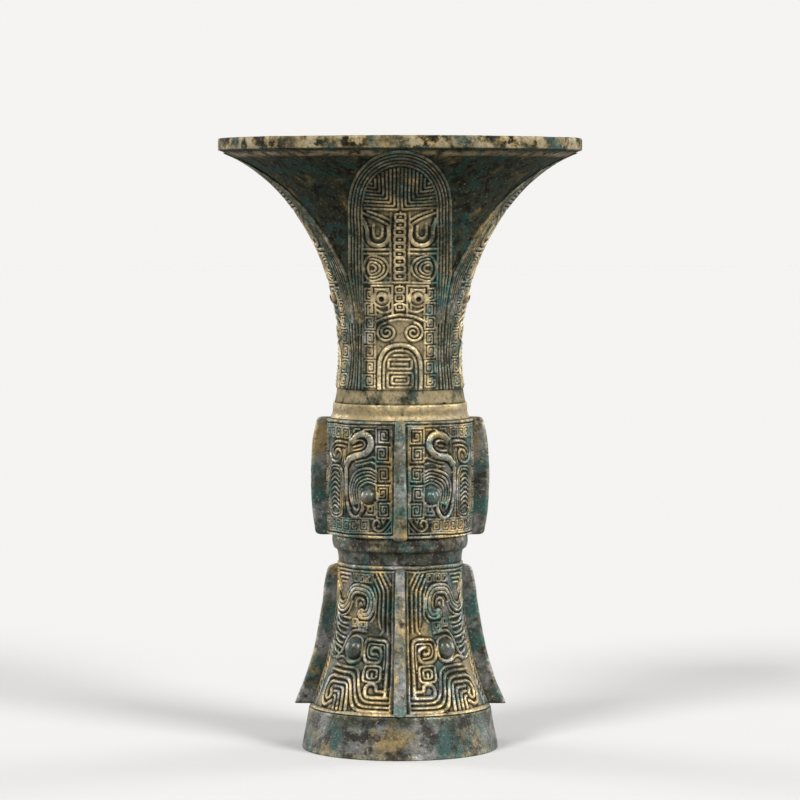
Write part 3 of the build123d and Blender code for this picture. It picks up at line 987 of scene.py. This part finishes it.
def footStrokes():
    unit = footLook["middle"] * math.pi / 180
    relief = newMap((-1, footLook["low"]), (91, footLook["high"]), footLook["step"], unit)
    line = footLook["lineHeight"]
    draw, flow, fold = carver(relief, line)

    # border lines, and small spirals along the top and down the side
    draw([(-1, 51.9), (91, 51.9)], 0.4, 0.34)
    draw([(6, 50.7), (86, 50.7)], 0.2, 0.34)
    draw([(-1, 12), (91, 12)], 0.5, 0.34)
    spiralRow(relief, (28.6, 48.9), (8, 0), 3, 1.15, 1.05, 0.62, (-1, 1), (-1, 1), 0.19, line)
    spiralRow(relief, (80.5, 48.6), (0, -3.7), 3, 1.35, 1.45, 0.70, (-1, -1), (1, -1), 0.19, line)

    # nested corners behind the horn
    for k in range(3):
        inset = 1.15 * k
        side = 74.8 - 3.2 * k
        corner = [(52.5 + 2.6 * k, 49.6 - inset), (side, 49.6 - inset), (side, 45.6 + 0.1 * k)]
        fold(corner + [(71.0 - 2.8 * k, 43.6 + 0.6 * k)], 0.8, 0.24)

    # the S-shaped horn, three ridges deep, hooked squarely round on itself
    horn = rounded([(76.5, 46), (73.6, 42.6), (67.5, 40.7), (60, 40.5), (54, 41.8), (50, 44.2),
                    (45.2, 45.6), (38, 45.9), (30.6, 45.3), (27, 43.2), (26.8, 40.6), (28.8, 39),
                    (32.6, 38.7), (35.8, 38.9)])
    draw(horn, 1.45, 0.62)
    for offset in (-0.62, 0.62):
        draw(beside(horn[6:-4], offset, unit), 0.15, 0.36, "groove")
    flow([(42.6, 40.6), (42.4, 42.4), (38.4, 43.3), (34.6, 42.6), (33.6, 41.4)], 0.24, 0.44)
    flow([(38.4, 41.4), (37.2, 42), (36.2, 41.4)], 0.2, 0.4)
    flow([(47.4, 42), (51, 39.6), (56.5, 38.4), (63, 38.2)], 0.24, 0.46)
    draw(squareSpiral((33.4, 35.6), 1.15, 0.95, 0.6, (1, -1), unit), 0.19)
    draw(squareSpiral((42.6, 36.3), 1.15, 1, 0.6, (-1, -1), unit), 0.19)
    draw([(38.2, 34.6), (38.2, 36.6)], 0.19)

    # wedges that fan out at the top beside the front flange and run down as upright lines
    wedges = (
        [(14, 50.3), (8.6, 47.2)],
        [(18.2, 50.3), (10.4, 45.6), (10.4, 33.8)],
        [(21.4, 50), (14.4, 45.4), (14.4, 34.6), (17, 33.6)],
        [(23.8, 48.6), (18.2, 45), (18.2, 37), (16.8, 35.2)],
        [(24.4, 46.4), (21.8, 44.4), (21.6, 38.4), (26, 36.6)],
    )
    for wedge in wedges:
        fold(wedge, 0.9, 0.24, 0.44)
    draw([(6.4, 13), (6.4, 50.4)], 0.2)

    # nose: a squarish volute whose band runs down beside the flange to the lip
    fold([(10.2, 17.2), (10.2, 32.2), (29.4, 32.2), (31.4, 29), (29.4, 25.9), (15.6, 25.9), (15.6, 30.1),
          (24.6, 30.1), (24.6, 28.2), (20.4, 28.2)], 1.9, 0.44, 0.62, "band")
    fold([(12.9, 24.2), (12.9, 30.2), (13, 31), (27, 31), (28.4, 29), (26.6, 27.2),
          (18.6, 27)], 0.9, 0.17, 0.4)

    # muzzle, an upright block of nested oblongs
    muzzle = np.array([21.6, 22.9])
    for wide, tall in ((6.6, 2.15), (3.7, 1.2)):
        corners = np.array([(-1, 0), (-1, 1), (1, 1), (1, -1), (-1, -1), (-1, 0)])
        fold(muzzle + corners * [wide, tall], 1, 0.26, 0.48)
    draw([(21.6, 22.2), (21.6, 23)], 0.26, 0.48)

    # lip volute, and the jaw lines that run below it, up and out along the cheek
    fold([(9, 16.5), (24.6, 16.5), (26, 18.2), (24.4, 20.1), (17, 20.1), (17.6, 18.2),
          (11.4, 18.2)], 1.4, 0.42, 0.60, "band")
    jaws = (
        [(6.6, 15.2), (25.4, 15.2), (30.4, 17.6), (33, 24.3), (58, 24.6)],
        [(6.6, 14), (28.6, 14), (33.4, 16.6), (36.2, 23), (62.4, 23.2)],
        [(6.6, 12.9), (31.6, 12.9), (36.2, 15.8), (39.4, 21.6), (58.2, 21.6)],
    )
    for jaw, half, height in zip(jaws, (0.25, 0.25, 0.36), (0.46, 0.46, 0.58)):
        fold(jaw, 2.2, half, height)
    # the lowest one ends in a round curl
    flow([(58, 21.6), (63.4, 20.6), (66, 17.6), (63.8, 14.7), (58.6, 13.7),
          (53.8, 14.9)], 0.40, 0.58, "band")

    # cheek, a comb of nested strokes beside the curl
    fold([(38.6, 13), (41.6, 20.1), (57.4, 20.1)], 1.2, 0.30, 0.54, "band")
    flow([(57, 20.1), (60.8, 19.3), (62.4, 17.3), (60.4, 15.6), (57.2, 15.6), (56, 17),
          (57.8, 17.9)], 0.36, 0.54, "band")
    combs = (
        [(42.6, 13), (45, 18.8), (54.4, 18.8)],
        [(46.2, 13), (48, 17.5), (53.6, 17.5)],
        [(49.8, 13), (50.6, 16.2), (52.8, 16.3)],
    )
    for comb in combs:
        fold(comb, 1, 0.24, 0.46)

    # eyelids, drawn to a point on the lower outer side
    flow([(30.6, 33.9), (34.6, 34.1), (40, 34.3), (46, 33.7), (50.6, 31.6), (54.6, 28.6),
          (60, 26.4)], 0.32, 0.56)
    flow([(33.4, 31.6), (32.8, 29), (34.2, 26.8), (38.2, 25.8), (44, 25.7), (49, 26.6), (54, 27),
          (60, 26)], 0.28, 0.50)
    draw(curl((40.5, 29.4), 3.35, 3.35, 200, 300, unit), 0.22, 0.44)

    # forked flames that rise outwards from behind the eye
    for k in range(4):
        lower = np.array([(2.3 * k, -2.75 * k), (0.8 * k, -2.75 * k), (0, -2.75 * k), (0, -2.75 * k)])
        flow(lower + [(48.5, 37.4), (58, 37.7), (65, 38), (71.6, 38.6)], 0.24, 0.48)
        flow(lower + [(51.5, 35.9), (59, 36), (65.6, 36.6), (71.6, 38.6)], 0.24, 0.48)
    flow([(60, 26.6), (66, 26.2), (71.6, 26.9)], 0.22, 0.44)

    # ladder strip beside the side flange, with slanting rungs
    draw([(73.4, 13), (73.4, 38.6), (74.4, 39.4)], 0.2)
    draw([(84.2, 13), (84.2, 50.4)], 0.2)
    for k in range(15):
        foot = 13.8 + 1.62 * k
        draw([(74.6, foot), (78.6, foot + 0.8), (82.4, foot + 0.9)], 0.2)
    return relief


def skirtInside():
    # from the top down, as (radius, height)
    look = footLook
    low, high = look["low"], look["high"]
    edge = look["margin"] + 1.0
    inner = wallHeights(low + edge, high - edge, look["insideSpacing"], skirtRadius)[::-1]
    top = [(float(skirtRadius(high)) - look["rims"][0], high)] + look["topSeat"]
    foot = look["footSeat"] + [(float(skirtRadius(low)) - look["rims"][1], low)]
    return top + [(float(skirtRadius(z)) - skirtLine["wall"], z) for z in inner] + foot


def skirtGround(height):
    return skirtRadius(height) + footLook["ground"]


footHeights = wallHeights(footLook["low"] + footLook["margin"], footLook["high"] - footLook["margin"],
                          footLook["rowSpacing"], skirtRadius)
buildQuarters(footLook | {"inside": skirtInside()}, footStrokes(), footHeights, skirtGround)
print("stage: foot carved")


# Plantain leaves: four blades that lie on the flare

leafLook = {
    "seed": 500,
    "bottom": 100.6,
    "spring": 150,  # height at which the rounded tip begins
    "rise": 16,
    "tipShape": 2.4,  # 2 for an ellipse, more for a blunter tip
    "half": 14,
    "field": 9.8,  # half width inside the border, where it runs upright
    "sector": 44.4,  # degrees from the middle of a leaf to its neighbour
    "ground": 0.32,  # mm that the blade stands proud of the flare
    "lineHeight": 0.38,
    "step": 0.10,
    "columns": 170,
    "backColumns": 14,
    "rows": 350,
    "tipGap": 0.05,  # mm from the last row to the end of the tip
    "tipRows": 3.95,  # mm below it in which the rows draw together
    "edgeRound": 0.45,
    "sunk": 0.35,  # mm that the back lies in the flare
    "waver": 0.16,
}


def crowdedHalf(height):
    # half width that is left for a blade between its neighbours
    return flareRadius(height) * math.sin(math.radians(leafLook["sector"]))


def squeezeAt(height):
    # how far the border is drawn together at a height, 1 where it has its full width
    spare = crowdedHalf(height) - leafLook["field"]
    return np.clip(spare / (leafLook["half"] - leafLook["field"]), 0.1, 1)


def leafHalf(height, inset=0):
    # half width of the blade at a height, or of the outline drawn inset mm inside it
    look = leafLook
    tip = np.clip((height - look["spring"]) / (look["rise"] - inset), 0, 1)
    arch = (look["half"] - inset) * np.sqrt(np.clip(1 - tip ** look["tipShape"], 0, 1))
    return np.minimum(arch, crowdedHalf(height) - inset * squeezeAt(height))


def leafStrokes():
    # the right half of a leaf; points are (mm from its middle, height in mm)
    look = leafLook
    relief = newMap((0, look["bottom"]), (look["half"] + 0.5, look["spring"] + look["rise"]), look["step"])
    draw, flow, fold = carver(relief, look["lineHeight"])

    # ridges that follow the outline, crowded together where the neck is narrow
    for number, inset in enumerate((0.45, 1.35, 2.2, 3.05, 3.9)):
        half, height = (0.2, 0.40) if number else (0.34, 0.52)
        rise = look["rise"] - inset
        upper = look["spring"] + rise - rise * (1 - np.linspace(0, 1, 40)) ** 2
        heights = np.concatenate([np.linspace(look["bottom"], look["spring"], 60), upper])
        edge = np.stack([leafHalf(heights, inset), heights], -1)
        # near the neck only every other ridge has room
        wideFrom = 22
        if number % 2 == 0:
            draw(edge[: wideFrom + 2], 0.15, height)
        for k in range(wideFrom, len(edge) - 1, 4):
            draw(edge[k : k + 5], half * float(squeezeAt(edge[k, 1])), height)

    # nested steps that fill the rounded tip: each runs in from the border and turns up
    inside = 4.6
    for k in range(8):
        x, level = 0.5 + 1.0 * k, 150.3 + 0.95 * k
        arch = 1 - (x / (look["half"] - inside)) ** 2
        top = look["spring"] + (look["rise"] - inside) * arch**0.42
        reach = float(leafHalf(np.array(level), inside))
        fold([(reach, level + 0.35), (x, level), (x, max(top - 0.2, level + 0.4))], 0.5, 0.2, 0.42)

    # brows and the C-shaped horns
    flow([(2.6, 145.8), (5.2, 147.4), (9.6, 149.3)], 0.24, 0.44)
    flow([(2.6, 147.4), (5.6, 148.8), (8.6, 149.9)], 0.24, 0.44)
    flow([(3, 145.6), (2.9, 142.6), (4.4, 140.7), (6.9, 140.6), (8.5, 142.2), (8.8, 145),
          (9.8, 147.6)], 0.5, 0.56, "band")
    flow([(4.7, 145.6), (4.6, 143.3), (5.8, 142.3), (6.9, 143.3), (7, 146.2)], 0.24, 0.46)

    # two thick bars, a nested eye-shaped figure and a divider
    for height in (139.4, 138.2):
        draw([(2.4, height), (10.2, height)], 0.24)
    for k in range(4):
        # two rings are closed towards the border, the two between them run out
        inner, outer, tall = 4.5 - 1.1 * k, 2.1 - 0.55 * k, 3.45 - 0.85 * k
        turn = np.radians(np.arange(0, 361, 15) if k % 2 == 0 else np.arange(75, 286, 15))
        wide = np.where(np.cos(turn) > 0, outer, inner)
        draw(np.stack([7.6 + wide * np.cos(turn), 134.2 + tall * np.sin(turn)], -1), 0.21, 0.42)
    draw([(2.55, 130.4), (2.55, 149.4)], 0.15, 0.36)
    draw([(0, 130.2), (10, 130.2)], 0.24)

    # chain of small squares up the middle, each with a boss
    upper, lower = [(131.9 + 2.05 * k, 1.35) for k in range(9)], [(123.6 + 2.3 * k, 1.1) for k in range(3)]
    for level, wide in upper + lower:
        high, low = level + 0.8, level - 0.8
        fold([(0, high), (wide, high), (wide, low), (0, low)], 0.4, 0.2, 0.46)
        draw([(0, level), (0.25, level)], 0.16, 0.42)
        draw([(0, level + 0.8), (0, level + 1.3)], 0.16, 0.4)

    # eye with its square frame, then the bridge of the nose
    draw([(2, 121.9), (2, 129.4), (7.6, 129.4), (7.6, 122.4)], 0.24, 0.44)
    draw([(3, 123), (3, 128.5), (6.7, 128.5)], 0.18)
    draw(curl((4.8, 126), 2.35, 2.35, 0, 360), 0.2, 0.42)
    flow([(1.4, 124.2), (2.6, 122.6), (4.8, 122.1), (6.4, 123)], 0.2)
    flow([(0, 121.6), (2, 121.3), (4.4, 120.6), (6.9, 119.4)], 0.26, 0.46)
    flow([(0, 120.3), (1.6, 120.1), (3, 119.8)], 0.22)

    # spiral nostril and the mouth, an arch with bars of teeth inside
    draw(curl((3.5, 116.6), 2.65, 0.45, 80, -760), 0.27, 0.52)
    flow([(5.5, 101.2), (5.5, 106), (5.2, 109.4), (3.9, 111.8), (2, 112.9), (0, 113.2)], 0.5, 0.5, "band")
    flow([(4.3, 101.2), (4.3, 106), (4.1, 108.6), (3.1, 110.6), (1.6, 111.5), (0, 111.7)])
    for low, high, wide in ((101.6, 105.6, 3.3), (102.6, 104.6, 2.2), (106.7, 109.3, 3.1)):
        fold([(0, low), (wide, low), (wide, high), (0, high)], 0.6, 0.22)
    for height, wide in ((103.6, 1.1), (108, 2), (110.4, 1.7)):
        draw([(0, height), (wide, height)], 0.22)

    # column of thunder spirals beside the border
    spiralRow(relief, (8, 103.3), (0, 3.95), 7, 1.35, 1.6, 0.74, (1, -1), (-1, -1), 0.19, 0.42)
    return relief


def swing(x, radius):
    # azimuth in degrees of a point that lies x mm beside the middle of its side
    return np.degrees(np.arcsin(np.clip(x / radius, -1, 1)))


def buildLeaves():
    look = leafLook
    relief = finished(leafStrokes())
    end = look["spring"] + look["rise"] - look["tipGap"]
    heights = look["bottom"] + (end - look["bottom"]) * np.linspace(0, 1, look["rows"])
    below = end - heights
    crowd = look["tipRows"]
    heights = np.sort(np.where(below < crowd, end - crowd * (np.maximum(below, 0) / crowd) ** 1.5, heights))
    wide = np.maximum(leafHalf(heights), 0.25)[:, None]
    x = np.linspace(-1, 1, look["columns"])[None, :] * wide
    z = np.repeat(heights[:, None], look["columns"], axis=1)
    inside = np.minimum(wide - np.abs(x), z - look["bottom"])
    edge = np.sqrt(np.clip(1 - (1 - np.clip(inside / look["edgeRound"], 0, 1)) ** 2, 0, 1))
    wall, backWall = flareRadius(z), flareRadius(heights)[:, None]
    backX = np.linspace(0.999, -0.999, look["backColumns"])[None, :] * wide
    blank = np.zeros(backX.shape)
    for number, (side, azimuth) in enumerate(sides):
        seed = look["seed"] + 10 * number
        proud, ridge, hollow = carved(relief, look["ground"], x, z, seed, look["waver"], mirror=True)
        front = around(wall + proud * edge, azimuth + swing(x, wall), z)
        back = around(backWall - look["sunk"], azimuth + swing(backX, backWall), heights[:, None])
        points = np.concatenate([front, back], axis=1)
        ridge, hollow = (np.concatenate([layer, blank], axis=1) for layer in (ridge, hollow))
        piece = tubeMesh(f"leaf_blade_{side}", points, bronze["leafBronze"], ridge=ridge, hollow=hollow)
        settle(piece, "carved_bronze", f"leaf_{side}")


buildLeaves()
print("stage: leaves carved")


# Eyes: rounded bosses, a pair on each mask, pair of birds and leaf

eyeLook = {  # beside: degrees from the middles; lean: radians that an eye looks down
    "phoenix_eye": {
        "node": "knop_eyes",
        "bronze": "eyeBronze",
        "middles": (-90, 90),
        "beside": 25,
        "height": 71.7,
        "wall": lambda height: 20.6,
        "proud": -0.25,  # mm from the wall to the middle of the dome
        "lean": 0,
        "radius": 2.15,
        "squash": 0.92,
        "pit": 0,
        "seed": 301,
    },
    "mask_eye": {
        "node": "foot_eyes",
        "bronze": "eyeBronze",
        "middles": (-90, 90),
        "beside": 40.5,
        "height": 29.4,
        "wall": skirtRadius,
        "proud": -0.1,
        "lean": -0.19,
        "radius": 2.7,
        "squash": 0.85,
        "pit": 0,
        "seed": 311,
    },
    "leaf_eye": {
        "node": "leaf_eyes",
        "bronze": "leafBronze",
        "middles": (-90, 0, 90, 180),
        "offset": 4.8,  # mm beside the middle of the leaf
        "height": 126,
        "wall": flareRadius,
        "proud": 0.35,
        "lean": 0.22,
        "radius": 1.75,
        "squash": 0.85,
        "pit": 1.15,
        "seed": 321,
    },
}
eyeGrid = {
    "rings": 26,
    "columns": 40,
    "from": -0.45,  # half turns below the widest ring
    "unevenness": 0.025,
    "cell": 1.4,
    "pitShare": 0.34,  # of the radius
    # share of the radius in a pit that gets dark dirt and painted shade
    "dirtAndShadeShare": 0.4,
    "wear": 0.8,
}


def buildEyes(name, look):
    # each is a closed dome whose base is sunk in the wall
    radius, pit = look["radius"], look["pit"]
    angle = np.linspace(eyeGrid["from"], 0.5, eyeGrid["rings"])[:, None] * math.pi
    turn = np.linspace(0, 2 * math.pi, eyeGrid["columns"], endpoint=False)[None, :]
    wide = radius * np.cos(angle)
    tall = look["squash"] * radius * np.sin(angle) + np.zeros_like(turn)
    tall = tall - pit * np.exp(-((wide / (eyeGrid["pitShare"] * radius)) ** 2)) * (angle > 0)
    dome = np.stack([wide * np.cos(turn), wide * np.sin(turn), tall], -1)
    ridge = np.clip(tall / radius, 0, 1) * eyeGrid["wear"]
    # the middle of a pit is marked for dark dirt and painted shade
    inPit = (angle > 0) & (wide < eyeGrid["dirtAndShadeShare"] * radius) & (pit > 0)
    hollow = np.broadcast_to(inPit, tall.shape)
    seat = float(look["wall"](look["height"])) + look["proud"]
    swung = look["beside"] if "beside" in look else float(swing(look["offset"], seat))
    places = [(middle, side) for middle in look["middles"] for side in (-1, 1)]
    for number, (middle, side) in enumerate(places):
        azimuth = math.radians(middle + side * swung)
        uneven = eyeGrid["unevenness"] * smoothNoise(dome, eyeGrid["cell"], look["seed"] + number)
        local = dome * (1 + uneven[..., None])
        out = np.array([math.cos(azimuth), math.sin(azimuth), 0])
        beside, up = np.array([-out[1], out[0], 0]), np.array([0, 0, 1.0])
        normal = out * math.cos(look["lean"]) - up * math.sin(look["lean"])
        top = out * math.sin(look["lean"]) + up * math.cos(look["lean"])
        points = out * seat + up * look["height"] + local @ np.array([beside, top, normal])
        piece = tubeMesh(f"{name}_{number + 1}", points, bronze[look["bronze"]], ridge=ridge, hollow=hollow)
        settle(piece, "rubbed_bronze", look["node"])


for name, look in eyeLook.items():
    buildEyes(name, look)


# Flanges: four upright ribs on the knop and four on the foot

flangeLook = {
    "knop": {
        "low": 59.7,
        "high": 92.6,
        "bottomWidth": 3.7,
        "topWidth": 2.7,
        "corner": 1.3,  # mm round the ends, as seen from the side
        "lowCorner": 1.0,  # share of it at the foot
        "round": 0.85,  # mm round the edge
        "edge": [(23.3, 92.4), (24.6, 86), (25, 77.5), (24.7, 68), (23.7, 60)],
        "wall": lambda height: np.full(np.shape(height), 20.4),
        "seed": 401,
    },
    "foot": {
        "low": 12.3,
        "high": 51.6,
        "bottomWidth": 3.5,
        "topWidth": 2.5,
        "corner": 1.2,
        "lowCorner": 0.35,
        "round": 0.8,
        "edge": [(18.6, 51.6), (20.2, 50.2), (21.2, 46), (21.9, 40.5), (24.1, 28), (26.6, 19.8),
                 (29.7, 12.3)],
        "wall": skirtRadius,
        "seed": 421,
    },
}
ribLook = {
    "rows": 150,
    "columns": 44,
    "frontRound": (1.1, 0.6),  # mm at the foot and at the top in which a rib narrows, seen from the front
    "sunk": 1.0,  # mm of it inside the wall
    "inset": 0.12,  # mm that it stays inside the solids
    "leastDepth": 0.3,  # mm from its back to its edge
    "endDepth": 0.9,  # share of its round corner that is taken off at an end
    "roundShare": 0.8,  # most that the round of its edge may take of half its width
    "bulgeLimit": 0.1,  # mm that the unevenness may stand out at the edge
    "swell": (0.10, 6),  # mm and the size of its cells in mm
    "pitting": (0.035, 1.1),
    "waver": (0.10, 9),
    "wear": (0.35, 0.7, 0.9),  # mm in from the edge, mm to its end and strength
}


def ribSection(deep, half, corner):
    # out along one side, round the edge and back, in evenly spaced points
    straight = deep - corner
    side = [(0, -half), (straight * 0.5, -half), (straight, -half)]
    for a in (0.4, 0.8, 1.2, 1.5):
        side.append((straight + corner * math.sin(a), -half + corner * (1 - math.cos(a))))
    outline = np.array(side + [(deep, 0)] + [(x, -y) for x, y in side[::-1]])
    length = np.concatenate([[0], np.cumsum(np.hypot(*np.diff(outline, axis=0).T))])
    place = np.linspace(0, 1, ribLook["columns"]) * length[-1]
    return np.stack([np.interp(place, length, outline[:, k]) for k in (0, 1)], -1)


def buildFlanges(kind, look):
    low, high, corner, seed = look["low"], look["high"], look["corner"], look["seed"]
    heights = np.linspace(low, high, ribLook["rows"])
    smooth = rounded(look["edge"][::-1], 12)
    reach = np.interp(heights, smooth[:, 1], smooth[:, 0])
    for end, share in ((high, 1), (low, look["lowCorner"])):
        inside = np.clip(1 - np.abs(heights - end) / corner, 0, 1) * share
        reach = reach - corner * (1 - np.sqrt(1 - inside**2)) * ribLook["endDepth"]
    share = (heights - low) / (high - low)
    half = 0.5 * (look["bottomWidth"] + (look["topWidth"] - look["bottomWidth"]) * share)
    lowRound, highRound = ribLook["frontRound"]
    fromEnd = np.clip(np.minimum((heights - low) / lowRound, (high - heights) / highRound), 0, 1)
    half = half * (0.5 + 0.5 * np.sqrt(1 - (1 - fromEnd) ** 2))
    root = look["wall"](heights) - ribLook["sunk"]
    deep = np.maximum(reach - root, ribLook["leastDepth"])
    rounds = np.minimum(look["round"], half * ribLook["roundShare"])
    section = np.array([ribSection(*sizes) for sizes in zip(deep, half, rounds)])
    level = np.repeat(heights[:, None], ribLook["columns"], axis=1)
    inset, fade, strength = ribLook["wear"]
    ridge = np.clip(1 - np.abs(section[..., 0] - (deep[:, None] - inset)) / fade, 0, 1) * strength
    swell, swellCell = ribLook["swell"]
    pit, pitCell = ribLook["pitting"]
    waver, waverCell = ribLook["waver"]
    for number, (side, azimuth) in enumerate(sides):
        radial, across = root[:, None] + section[..., 0], section[..., 1]
        place = np.stack([radial, across, level + 300 * number], -1)
        bulge = swell * roughNoise(place, swellCell, seed, 2) + pit * roughNoise(place, pitCell, seed + 4, 2)
        across = across * (1 + bulge / np.maximum(half[:, None], 0.5))
        # the back stays flat
        proud = np.minimum(bulge, ribLook["bulgeLimit"]) * (section[..., 0] > ribLook["leastDepth"])
        radial = radial - ribLook["inset"] + proud
        drift = np.stack([level, level * 0 + 50 * number], -1)
        across = across + waver * smoothNoise(drift, waverCell, seed + 9)
        out = np.array([math.cos(math.radians(azimuth)), math.sin(math.radians(azimuth)), 0])
        beside = np.array([-out[1], out[0], 0])
        points = radial[..., None] * out + across[..., None] * beside + level[..., None] * [0, 0, 1]
        piece = tubeMesh(f"{kind}_rib_{side}", points, bronze["flangeBronze"], ridge=ridge)
        settle(piece, "rubbed_bronze", f"{kind}_flange_{side}")


for kind, look in flangeLook.items():
    buildFlanges(kind, look)
print("stage: eyes and flanges made")


# Camera, floor and light

photoView = {
    "distance": 1.0108,  # metres from the vessel axis
    "height": 0.15166,
    "pitch": 3.084,  # degrees down
    "focalPixels": 3631,  # for a picture 800 pixels wide
    "pictureWidth": 800,
}


def buildCamera():
    camera = bpy.data.objects.new("camera", bpy.data.cameras.new("camera"))
    bpy.context.scene.collection.objects.link(camera)
    camera.data.sensor_width = 36
    camera.data.lens = 36 * photoView["focalPixels"] / photoView["pictureWidth"]
    camera.location = (0, -photoView["distance"], photoView["height"])
    camera.rotation_euler = (math.radians(90 - photoView["pitch"]), 0, 0)
    bpy.context.scene.camera = camera


def softLight(name, azimuth, elevation, strength, spread):
    # light from far away, even over the whole floor; spread in degrees softens its shadows
    lamp = bpy.data.lights.new(name, "SUN")
    lamp.energy = strength
    lamp.angle = math.radians(spread)
    holder = bpy.data.objects.new(name, lamp)
    bpy.context.scene.collection.objects.link(holder)
    holder.rotation_euler = (math.radians(90 - elevation), 0, math.radians(azimuth))


studioLook = {
    "paper": (0.57, 0.565, 0.556),
    "paperBounce": (0.24, 0.23, 0.22),
    "world": 0.36,  # even light from all around
    "floor": 8.0,  # metres from its middle to its sides
    "lamps": (  # name, degrees to the right of the camera, degrees up, strength, spread
        ("keyLeft", -34, 40, 2.2, 18),
        ("keyRight", 44, 32, 2.8, 22),
        ("edgeLeft", -118, 18, 1.6, 30),
        ("edgeRight", 118, 18, 1.6, 30),
    ),
}


def seenRays(tree):
    # 1 where the eye, a reflection or a clear body shows the surface
    rays = tree.nodes.new("ShaderNodeLightPath")
    seen = mathNode(tree, "ADD", rays.outputs["Is Camera Ray"], rays.outputs["Is Glossy Ray"])
    return mathNode(tree, "ADD", seen, rays.outputs["Is Transmission Ray"], clamp=True)


def buildFloor():
    mesh = bpy.data.meshes.new("floor")
    reach = studioLook["floor"]
    corners = [(x * reach, y * reach, 0) for x, y in ((-1, -1), (1, -1), (1, 1), (-1, 1))]
    mesh.from_pydata(corners, [], [(0, 1, 2, 3)])
    floor = bpy.data.objects.new("floor", mesh)
    bpy.context.scene.collection.objects.link(floor)
    paper = bpy.data.materials.new("floorPaper")
    paper.use_nodes = True
    # pale where it is seen, and a middle grey for the light that it throws back
    tree = paper.node_tree
    inputs = tree.nodes["Principled BSDF"].inputs
    tone = mixColor(tree, seenRays(tree), studioLook["paperBounce"], studioLook["paper"])
    feed(tree, inputs["Base Color"], tone)
    feed(tree, inputs["Roughness"], 0.9)
    feed(tree, inputs["Specular IOR Level"], 0.0)
    mesh.materials.append(paper)


def buildWorld():
    world = bpy.data.worlds.new("studio")
    bpy.context.scene.world = world
    world.use_nodes = True
    tree = world.node_tree
    plain = studioLook["world"]
    # the far floor and the backdrop meet without a line
    onFloor = plain
    for _, _, elevation, strength, _ in studioLook["lamps"]:
        onFloor += strength * math.sin(math.radians(elevation)) / math.pi
    far = tuple(onFloor * tone for tone in studioLook["paper"])
    feed(tree, tree.nodes["Background"].inputs["Color"], mixColor(tree, seenRays(tree), (plain,) * 3, far))
    feed(tree, tree.nodes["Background"].inputs["Strength"], 1.0)


buildCamera()
buildFloor()
buildWorld()
for lamp in studioLook["lamps"]:
    softLight(*lamp)
bpy.context.scene.view_settings.view_transform = "Standard"
print("stage: camera and light set")
